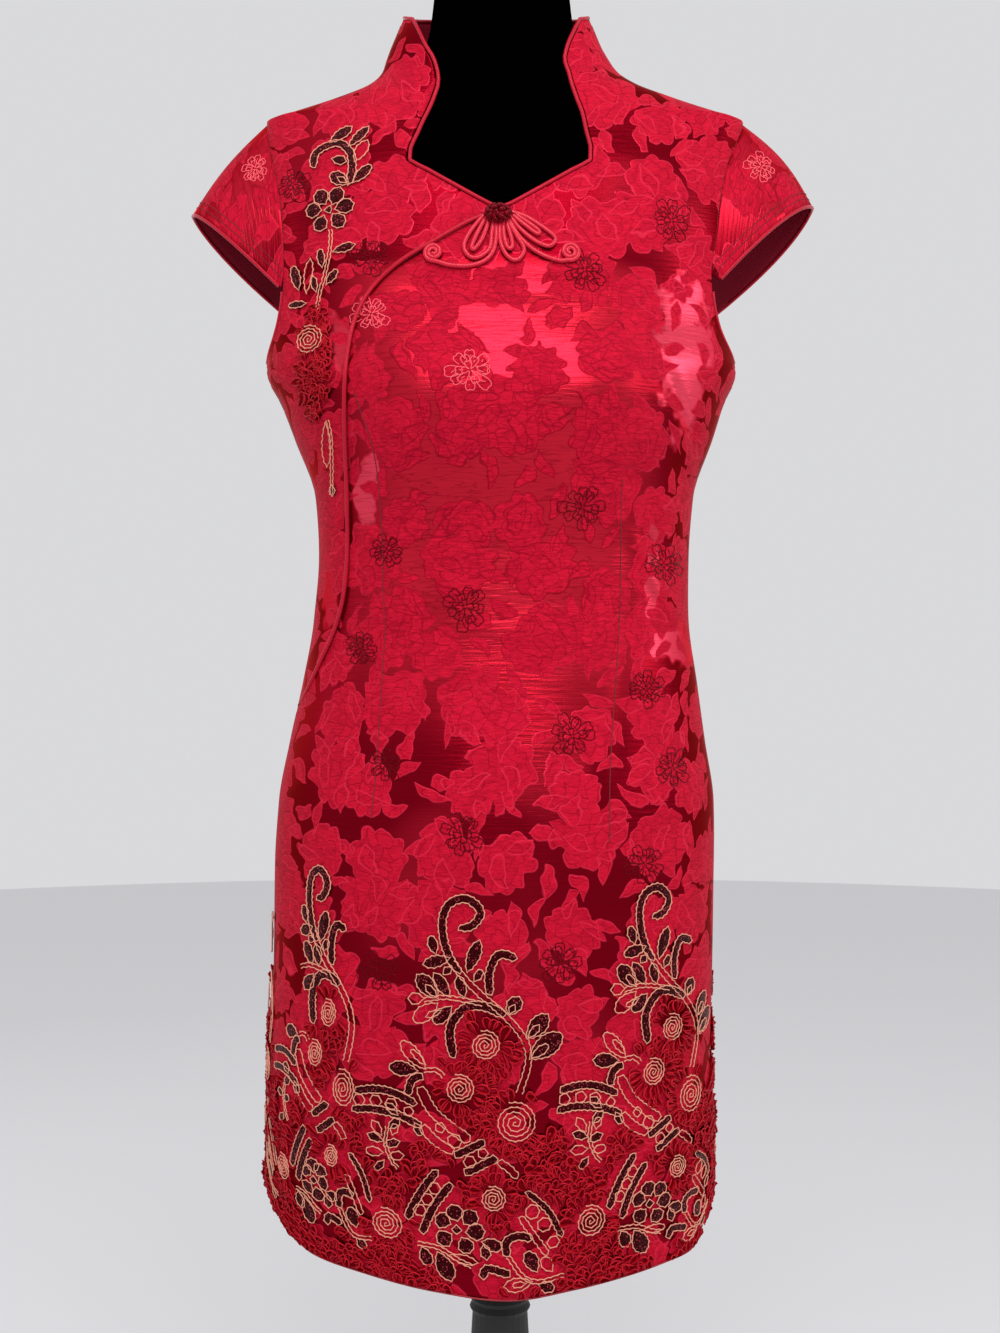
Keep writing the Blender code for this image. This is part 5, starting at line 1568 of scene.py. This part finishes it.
@dataclass
class Ribbonwork:
    """The applique: ruched ribbon, beaded leaves and bars, and cream chain stitch round them."""

    dress: Dress
    thread: float = 0.00044
    step: float = 0.0023
    ribbon_length: float = 0.0112
    ribbon_width: float = 0.0066
    ribbon_height: float = 0.0034
    ribbon_columns: int = 10
    clear: float = 0.0041
    spacing: float = 0.0054
    spiral_turns: float = 4.3
    rosette_start: float = 0.0046
    rosette_gap: float = 0.0056
    rosette_step: float = 0.0074
    rosette_top: float = 0.690
    core_room: float = 0.018
    narrow: float = 0.7

    def __post_init__(self) -> None:
        """Starts with nothing laid."""
        self.lines: list = []
        self.beads: list = []
        self.laid: list = []
        self.rng = np.random.default_rng(7)

    def chain(self, flat: np.ndarray, closed: bool) -> tuple:
        """A chain-stitched line: even stitches that swing a little from side to side.

        Args:
            flat: points of the line in metres on the cloth.
            closed: whether it ends where it starts.

        Returns:
            The stitches' points and their share of the thread's radius.
        """
        length = np.sum(np.linalg.norm(np.diff(flat, axis=0), axis=1))
        count = max(4, int(length / self.step / 2) * 2)
        at = np.concatenate([[0], np.cumsum(np.linalg.norm(np.diff(flat, axis=0), axis=1))])
        spread = np.linspace(0, at[-1], count + 1)[: -1 if closed else None]
        points = np.column_stack([np.interp(spread, at, flat[:, k]) for k in (0, 1)])
        ways = unit(np.gradient(points, axis=0))
        swing = 0.00032 * (-1.0) ** np.arange(len(points)) + self.rng.normal(0, 0.00012, len(points))
        points = points + np.column_stack([ways[:, 1], -ways[:, 0]]) * swing[:, None]
        return points, 1.0 + 0.22 * (-1.0) ** np.arange(len(points))

    def stitch(self, flat: np.ndarray, closed: bool, lay: Callable, off: float = 0.0017) -> None:
        """Lays one cream line."""
        points, swell = self.chain(flat, closed)
        self.lines.append(Thread(lay(points, off), closed, swell))
        self.laid.append((points, lay))

    def leaf(self, shape: Leaf, lay: Callable, scale: np.ndarray, origin: np.ndarray) -> None:
        """Lays one leaf.

        Args:
            shape: its row of the chart.
            lay: puts flat metres onto the cloth.
            scale: metres to a chart unit.
            origin: the chart's middle, in flat metres.
        """
        base = origin + np.array((shape.x, shape.y)) * scale
        axis = np.array((shape.tip_x - shape.x, shape.tip_y - shape.y)) * scale
        across = np.array((-axis[1], axis[0])) / np.linalg.norm(axis)
        t = np.linspace(0, 1, 15)
        half = 0.5 * shape.width * CHART * np.sin(np.pi * t**1.25) ** 0.62
        sides = [base + t[:, None] * axis + side * half[:, None] * across for side in (-1, 1)]
        if shape.fill is not Fill.OPEN:
            s = np.linspace(-1, 1, 5)
            flat = base + t[:, None, None] * axis + (s[None, :] * half[:, None])[..., None] * across
            dome = 0.0009 + 0.0010 * (1 - s**2)[None, :] * np.minimum(1, half / 0.002)[:, None]
            self.beads.append(lay(flat.reshape(-1, 2), dome.ravel()).reshape(15, 5, 3))
            self.laid.append((flat[2::3, ::2].reshape(-1, 2), lay))
        rim = np.vstack([sides[0], sides[1][-2:0:-1]])
        self.stitch(np.vstack([rim, rim[:1]]), True, lay)
        if shape.fill is Fill.NESTED:
            middle = base + axis * 0.06 + (t * 0.52)[:, None] * axis
            away = 0.42 * half[:, None] * across
            self.stitch(np.vstack([middle - away, (middle + away)[::-1]]), False, lay, 0.0026)

    def band(
        self, shape: Band, lay: Callable, scale: np.ndarray, origin: np.ndarray, stem: bool = False
    ) -> None:
        """Lays one bar, or a stem's two lines."""
        flat = origin + smooth_path(shape.knots, 26) * scale
        ways = unit(np.gradient(flat, axis=0))
        across = np.column_stack([-ways[:, 1], ways[:, 0]])
        half = np.full(26, 0.5 * shape.width * CHART)
        if not stem:
            half[[0, -1]] *= 0.45
            half[[1, -2]] *= 0.9
        rim = [flat + side * half[:, None] * across for side in (-1, 1)]
        if stem:
            for side in rim:
                self.stitch(side, False, lay)
            return
        if shape.fill is Fill.BEADED:
            s = np.linspace(-1, 1, 4)
            grid = flat[:, None] + (s[None, :] * half[:, None])[..., None] * across[:, None]
            dome = np.broadcast_to(0.0009 + 0.0009 * (1 - s**2)[None, :], (26, 4))
            self.beads.append(lay(grid.reshape(-1, 2), dome.ravel()).reshape(26, 4, 3))
        rim = np.vstack([rim[0], rim[1][::-1], rim[0][:1]])
        self.stitch(rim, True, lay)

    def ring(self, dot: Dot, lay: Callable, scale: np.ndarray, origin: np.ndarray, turns: float) -> None:
        """Lays a small ring, or a spiral of several turns."""
        count = max(10, int(24 * turns))
        turn = np.linspace(0, 2 * np.pi * turns, count)
        radius = dot.radius * (1 if turns <= 1 else turn / turn[-1])
        middle = origin + np.array((dot.x, dot.y)) * scale
        flat = middle + np.column_stack([np.cos(turn), np.sin(turn)]) * np.reshape(radius, (-1, 1)) * scale
        if turns > 1:
            self.stitch(flat[3:], False, lay, 0.0030)
        else:
            self.stitch(flat, False, lay, 0.0019)

    def chart(
        self, lay: Callable, scale: np.ndarray, origin: np.ndarray, keep: Callable, rows: tuple
    ) -> None:
        """Lays a whole chart.

        Args:
            lay: puts flat metres onto the cloth.
            scale: metres to a chart unit.
            origin: the chart's middle, in flat metres.
            keep: says whether a shape's place is on the cloth.
            rows: the chart's leaves, bands, stems, rings and spirals.
        """
        leaves, bands, stems, rings, spirals = rows

        def kept(*spots: tuple) -> bool:
            """Whether all the spots are on the cloth."""
            return all(keep(origin + np.array(spot) * scale) for spot in spots)

        for shape in leaves:
            if kept((shape.x, shape.y), (shape.tip_x, shape.tip_y)):
                self.leaf(shape, lay, scale, origin)
        for group, stem in ((bands, False), (stems, True)):
            for shape in group:
                if kept(*shape.knots):
                    self.band(shape, lay, scale, origin, stem)
        for dot in rings:
            if kept((dot.x, dot.y)):
                self.ring(dot, lay, scale, origin, 1.0)
        for dot in spirals:
            if kept((dot.x, dot.y)):
                self.ring(dot, lay, scale, origin, self.spiral_turns)

    def ribbons(self, spots: np.ndarray, ways: np.ndarray, lay: Callable, size: float = 1.0) -> list:
        """Ribbon gathered into loops that stand on edge, narrow at the stalk and open at the tip.

        Args:
            spots: flat metres of their middles.
            ways: the angles that they run at.
            lay: puts flat metres onto the cloth.
            size: a share of the usual size.

        Returns:
            A patch of points for each.
        """
        count = len(spots)
        turn = np.linspace(0.15, 2 * np.pi - 0.15, self.ribbon_columns)[None]
        length = self.ribbon_length * size * self.rng.uniform(0.75, 1.2, (count, 1))
        width = self.ribbon_width * size * self.rng.uniform(0.75, 1.25, (count, 1))
        bend = self.rng.uniform(-0.9, 0.9, (count, 1))
        height = self.ribbon_height * size * self.rng.uniform(0.7, 1.15, (count, 1))
        reach = 0.5 - 0.5 * np.cos(turn)
        waves = self.rng.uniform(0, 2 * np.pi, (count, 1))
        height = height * (1 + 0.22 * np.sin(3 * turn + waves)) * (0.55 + 0.45 * reach)
        rows = []
        for share, lift in ((0.40, 0.05), (0.72, 0.62), (1.0, 1.0), (1.36, 0.80)):
            x = length * (reach * (0.86 + 0.14 * share) - 0.5)
            y = 0.5 * width * share * np.sin(turn) * np.sqrt(reach) + bend * length * (reach - 0.5) ** 2
            flat_x = spots[:, :1] + x * np.cos(ways)[:, None] - y * np.sin(ways)[:, None]
            flat_y = spots[:, 1:] + x * np.sin(ways)[:, None] + y * np.cos(ways)[:, None]
            off = 0.0004 + height * lift
            flat = np.stack([flat_x, flat_y], axis=-1).reshape(-1, 2)
            rows.append(lay(flat, off.ravel()).reshape(count, turn.shape[1], 3))
        return list(np.stack(rows, axis=1))

    def ruche(self, name: str, patches: list) -> None:
        """Links the ribbon loops, their top edges in a lighter red as a painted highlight."""
        made = link(joined_mesh(name, patches), RUCHE, slot="red_satin_piping")
        made.data.materials.append(RIBBON_PAINTED_HIGHLIGHT.material())
        # The top row of each loop gets the painted highlight.
        bands = np.repeat((0, 0, 1), self.ribbon_columns - 1)
        made.data.polygons.foreach_set("material_index", np.tile(bands, len(patches)))

    def rosette(self, middle: np.ndarray, core: float, reach: float) -> tuple:
        """Places and ways of the ribbons that stand round a spiral."""
        spots, ways = [], []
        radius = core + self.rosette_start
        while radius < reach:
            count = int(2 * np.pi * radius / self.rosette_gap)
            turn = np.linspace(0, 2 * np.pi, count, endpoint=False) + self.rng.uniform(0, 1)
            turn = turn + self.rng.normal(0, 0.08, count)
            ring = middle + np.column_stack([np.cos(turn), np.sin(turn)]) * radius
            spots.append(ring)
            ways.append(turn + self.rng.normal(0, 0.22, count))
            radius += self.rosette_step
        return np.vstack(spots), np.concatenate(ways)

    def hem_side(self, back: bool) -> None:
        """The hem's applique on the front or the back."""

        def lay(flat: np.ndarray, off: np.ndarray) -> np.ndarray:
            """Onto the cloth, by metres round it and level."""
            level = np.maximum(flat[:, 1], HEM_Z + 0.0015)
            return self.dress.on_cloth(flat[:, 0], level, off, back)

        def room(flat: np.ndarray) -> np.ndarray:
            """How far inside the cloth's edges a spot lies."""
            edge = self.dress.arc(np.full(np.shape(flat[..., 0]), 90.0), flat[..., 1], back)
            return np.minimum(edge - np.abs(flat[..., 0]), flat[..., 1] - HEM_Z)

        self.lines, self.beads, self.laid = [], [], []
        spots, ways, windows, cores = [], [], [], []
        for row in UNITS:
            if row.back is not back:
                continue
            origin = np.array((row.u, row.level))
            scale = CHART * np.array((row.squeeze, 1.0))
            narrow = row.squeeze < self.narrow
            leaves = [leaf for leaf in HEM_LEAVES if not narrow or leaf.fill is Fill.BEADED]
            rows = (leaves, HEM_BANDS, HEM_STEMS, () if narrow else HEM_RINGS, HEM_SPIRALS)
            self.chart(lay, scale, origin, lambda spot: room(spot) > 0.004, rows)
            for dot in HEM_SPIRALS:
                middle = origin + np.array((dot.x, dot.y)) * scale
                cores.append((middle, dot.radius * CHART))
                ring, turn = self.rosette(middle, dot.radius * CHART, 0.0235 if dot.y > -150 else 0.019)
                spots.append(ring)
                ways.append(turn)
            rings = (Dot(dot.x, dot.y, dot.radius + 5) for dot in HEM_RINGS)
            for dot in (*HEM_WINDOWS, *rings):
                windows.append((origin + np.array((dot.x, dot.y)) * scale, dot.radius * scale[0]))
        rosette_count = sum(len(ring) for ring in spots)
        across = np.arange(-0.245, 0.245, self.spacing)
        up = np.arange(HEM_Z + 0.004, 0.700, self.spacing)
        fill = np.array([(x, y) for x in across for y in up])
        fill = fill + self.rng.uniform(-0.5, 0.5, fill.shape) * self.spacing
        low = fill[:, 1] < 0.606 + 0.010 * np.sin(fill[:, 0] * 34) + 0.006 * np.sin(fill[:, 0] * 91)
        reach = room(fill)
        edges = (fill[:, 1] < 0.646) & (reach < 0.020)
        fill = fill[(low | edges) & (reach > 0.001)]
        for middle, _ in cores:
            fill = fill[np.linalg.norm(fill - middle, axis=1) > self.core_room]
        spots = np.vstack([*spots, fill])
        ways = np.concatenate([*ways, self.rng.uniform(0, np.pi, len(fill))])
        keep = room(spots) > 0.001
        keep[:rosette_count] &= spots[:rosette_count, 1] < self.rosette_top
        for middle, radius in windows:
            keep &= np.linalg.norm(spots - middle, axis=1) > radius
        for middle, core in cores:
            keep &= np.linalg.norm(spots - middle, axis=1) > core + 0.0015
        lined = np.vstack([points for points, _ in self.laid])
        for start in range(0, len(spots), 400):
            gap = np.linalg.norm(spots[start : start + 400, None] - lined[None], axis=2).min(axis=1)
            keep[start : start + 400] &= gap > self.clear
        name = "back" if back else "front"
        patches = self.ribbons(spots[keep], ways[keep], lay)
        LOG.info("%s ribbons: %d", name, len(patches))
        self.ruche(f"hem_ruching_{name}", patches)
        self.sew(f"hem_{name}")

    def sew(self, name: str) -> None:
        """Links the beading and the cream stitches that were laid."""
        link(joined_mesh(f"{name}_beading", self.beads), BEADING, slot="garnet_beads")
        link(cords(f"{name}_chain_stitch", self.lines, self.thread, 1), CREAM)

    def vine(self) -> None:
        """The spray on the shoulder, with its oval of ruched ribbon."""

        def lay(flat: np.ndarray, off: np.ndarray) -> np.ndarray:
            """Onto the front, by where it is seen."""
            return self.dress.seen(flat[:, 0], flat[:, 1], off)

        self.lines, self.beads, self.laid = [], [], []
        origin = np.array(VINE_ORIGIN)
        rows = (VINE_LEAVES, VINE_BANDS, VINE_STEMS, (), VINE_SPIRALS)
        self.chart(lay, np.full(2, CHART), origin, lambda spot: True, rows)
        turn = self.rng.uniform(0, 2 * np.pi, 110)
        share = np.sqrt(self.rng.uniform(0, 1, 110))
        oval = np.column_stack([-12 + 17 * share * np.cos(turn), -158 + 57 * share * np.sin(turn)])
        spots = origin + oval * CHART
        middle = origin + np.array((VINE_SPIRALS[0].x, VINE_SPIRALS[0].y)) * CHART
        spots = spots[np.linalg.norm(spots - middle, axis=1) > 0.0085]
        patches = self.ribbons(spots, self.rng.uniform(0, np.pi, len(spots)), lay, 0.9)
        self.ruche("vine_ruching", patches)
        self.sew("vine")

    def build(self) -> None:
        """Sews the applique on."""
        self.hem_side(False)
        self.hem_side(True)
        self.vine()


class Blossom(NamedTuple):
    """A flower outlined in satin floats: where it is seen, its radius, and whether its outline is the pale
    painted highlight.
    """

    x: float
    z: float
    radius: float
    bright: bool = False


FRONT_BLOSSOMS = tuple(
    Blossom(*row)
    for row in (
        (-0.022, 1.151, 0.0175, True), (0.062, 1.053, 0.0175), (-0.026, 0.978, 0.0175),
        (0.054, 0.881, 0.0170),
        (-0.028, 0.808, 0.0170), (0.045, 0.712, 0.0170), (0.064, 1.232, 0.0165), (-0.098, 1.244, 0.0155),
        (-0.097, 1.198, 0.0150, True), (-0.162, 1.310, 0.0140), (-0.086, 1.021, 0.0140),
        (-0.086, 0.860, 0.0140),
        (-0.106, 0.946, 0.0135), (0.112, 0.916, 0.0155), (0.132, 0.855, 0.0155), (0.127, 1.012, 0.0155),
        (0.132, 1.276, 0.0165), (-0.090, 0.704, 0.0165), (0.110, 0.784, 0.0155),
    )
)
BACK_BLOSSOMS = tuple(
    Blossom(x, z, 0.0170)
    for x, z in (
        (0.020, 1.300), (-0.062, 1.240), (0.085, 1.190), (-0.010, 1.140), (-0.100, 1.110), (0.055, 1.050),
        (-0.040, 1.000), (0.095, 0.960), (0.005, 0.900), (-0.090, 0.880), (0.070, 0.820), (-0.030, 0.780),
        (-0.120, 0.760), (0.125, 0.730), (0.020, 1.390),
    )
)


class SleeveBlossom(NamedTuple):
    """A flower outlined on a cap sleeve: the sleeve's number, its place and its radius."""

    sleeve: int
    share: float
    drop: float
    radius: float


SLEEVE_BLOSSOMS = (SleeveBlossom(0, -0.44, 0.24, 0.0125), SleeveBlossom(1, -0.38, 0.38, 0.0145))


@dataclass
class OutlinedBlossoms:
    """The small flowers that the weave draws in lines alone."""

    dress: Dress
    sleeves: CapSleeves
    line: float = 0.00042

    def petals(self, rng: np.random.Generator) -> list:
        """The petals' and veins' lines of one flower, its radius being one."""
        lines = []
        for ring, (count, inner, outer, spread) in enumerate(
            ((8, 0.52, 1.0, 0.43), (6, 0.28, 0.74, 0.55), (4, 0.06, 0.44, 0.80))
        ):
            start = rng.uniform(0, 6.28)
            for k in range(count):
                turn = start + 2 * np.pi * k / count + rng.normal(0, 0.12)
                long = outer * rng.uniform(0.80, 1.15)
                t = np.linspace(-1, 1, 17)
                reach = inner + (long - inner) * (1 - np.abs(t) ** 2.4) - 0.07 * np.exp(-((t / 0.16) ** 2))
                angle = turn + spread * t * (0.75 + 0.35 * (1 - t**2))
                lines.append(np.column_stack([np.cos(angle), np.sin(angle)]) * reach[:, None])
                if ring < 2:
                    vein = np.linspace(inner + 0.08, long * 0.72, 5)
                    sway = turn + 0.10 * np.sin(vein * 9)
                    lines.append(np.column_stack([np.cos(sway), np.sin(sway)]) * vein[:, None])
        return lines

    def paths(self, flower: Blossom, back: bool, rng: np.random.Generator) -> list:
        """One flower's lines on the front or the back."""
        made = []
        for shape in self.petals(rng):
            flat = shape * flower.radius + (flower.x, flower.z)
            made.append(Thread(self.dress.seen(flat[:, 0], flat[:, 1], 0.00012, back)))
        return made

    def sleeve_paths(self, flower: SleeveBlossom, rng: np.random.Generator) -> list:
        """One flower's lines on a cap sleeve."""
        fit = SLEEVES[flower.sleeve]
        made = []
        for shape in self.petals(rng):
            share = flower.share + shape[:, 0] * flower.radius * 1.3 / 0.150
            drop = flower.drop + shape[:, 0] * 0.05 + shape[:, 1] * flower.radius / 0.075
            drop = np.clip(drop, 0.04, 0.80)
            cloth = self.sleeves.point(share, drop, fit)
            lift = self.sleeves.normal(share, flower.drop, fit) * 0.00025
            made.append(Thread((cloth + lift) * (fit.sign, 1, 1)))
        return made

    def build(self) -> None:
        """Draws the flowers of both sides and of the sleeves; some of the front's and all of the sleeves' are
        outlined in the pale painted highlight.
        """
        rng = np.random.default_rng(11)
        for name, rows, back in (("front", FRONT_BLOSSOMS, False), ("back", BACK_BLOSSOMS, True)):
            dark = [path for flower in rows if not flower.bright for path in self.paths(flower, back, rng)]
            link(cords(f"blossom_outlines_{name}", dark, self.line, 0), OUTLINE)
        bright = []
        for flower in FRONT_BLOSSOMS:
            if flower.bright:
                bright += self.paths(flower, False, rng)
        for flower in SLEEVE_BLOSSOMS:
            bright += self.sleeve_paths(flower, rng)
        link(cords("blossom_outlines_lit", bright, self.line, 0), FLOAT)


class Lamp(NamedTuple):
    """A soft lamp: where it stands, what it faces, its sides and its watts."""

    name: str
    place: tuple
    aim: tuple
    size: tuple
    watts: float


LAMPS = (
    Lamp("key", (0.05, -1.55, 2.90), (0.0, 0.0, 1.15), (1.5, 0.7), 23.0),
    Lamp("right", (1.85, -0.75, 1.60), (0.10, -0.05, 1.1), (1.0, 0.9), 8.0),
    Lamp("left", (-2.0, -0.55, 1.70), (-0.10, -0.05, 1.1), (0.4, 0.8), 2.0),
    Lamp("fill", (0.1, -1.85, 1.85), (0.0, 0.0, 1.25), (1.0, 0.6), 13.0),
    Lamp("rear", (-1.2, 2.2, 2.0), (0.0, 0.0, 1.0), (1.4, 1.0), 4.0),
)


@dataclass
class Studio:
    """The pale floor and backdrop colour, the soft lights and the camera."""

    lens: float = 45.0
    stand_back: float = 1.35
    eye_level: float = 0.933
    backdrop: str = "#f0f0f2"
    glow: float = 0.80

    def lamp(self, row: Lamp) -> None:
        """A soft rectangular lamp."""
        light = bpy.data.lights.new(row.name, "AREA")
        light.shape = "RECTANGLE"
        light.size, light.size_y = row.size
        light.energy = row.watts
        made = bpy.data.objects.new(row.name, light)
        made.location = row.place
        made.rotation_euler = (Vector(row.aim) - Vector(row.place)).to_track_quat("-Z", "Y").to_euler()
        bpy.context.scene.collection.objects.link(made)

    def build(self) -> None:
        """Sets the stage."""
        shape = bmesh.new()
        bmesh.ops.create_circle(shape, cap_ends=True, segments=96, radius=6.0)
        mesh = bpy.data.meshes.new("studio_floor")
        shape.to_mesh(mesh)
        shape.free()
        floor = bpy.data.objects.new("studio_floor", mesh)
        floor.data.materials.append(PALE_FLOOR.material())
        bpy.context.scene.collection.objects.link(floor)
        world = bpy.data.worlds.new("pale_studio")
        world.use_nodes = True
        background = world.node_tree.nodes["Background"]
        background.inputs["Color"].default_value = linear(self.backdrop)
        background.inputs["Strength"].default_value = self.glow
        bpy.context.scene.world = world
        bpy.context.scene.view_settings.view_transform = "Standard"
        for row in LAMPS:
            self.lamp(row)
        camera = bpy.data.objects.new("camera", bpy.data.cameras.new("camera"))
        camera.data.lens = self.lens
        camera.data.sensor_width = 36.0
        camera.location = (0.0, -self.stand_back, self.eye_level)
        camera.rotation_euler = (math.pi / 2, 0.0, 0.0)
        bpy.context.scene.collection.objects.link(camera)
        bpy.context.scene.camera = camera


def main() -> None:
    """Builds the dress from the form outwards."""
    logging.basicConfig(level=logging.INFO, format="%(name)s: %(message)s")
    dress = Dress()
    DressForm().build()
    Panels(dress).build()
    sleeves = CapSleeves(dress)
    sleeves.build()
    Piping(dress).build()
    Frog(dress).build()
    OutlinedBlossoms(dress, sleeves).build()
    Ribbonwork(dress).build()
    Studio().build()


if __name__ == "__main__":
    main()
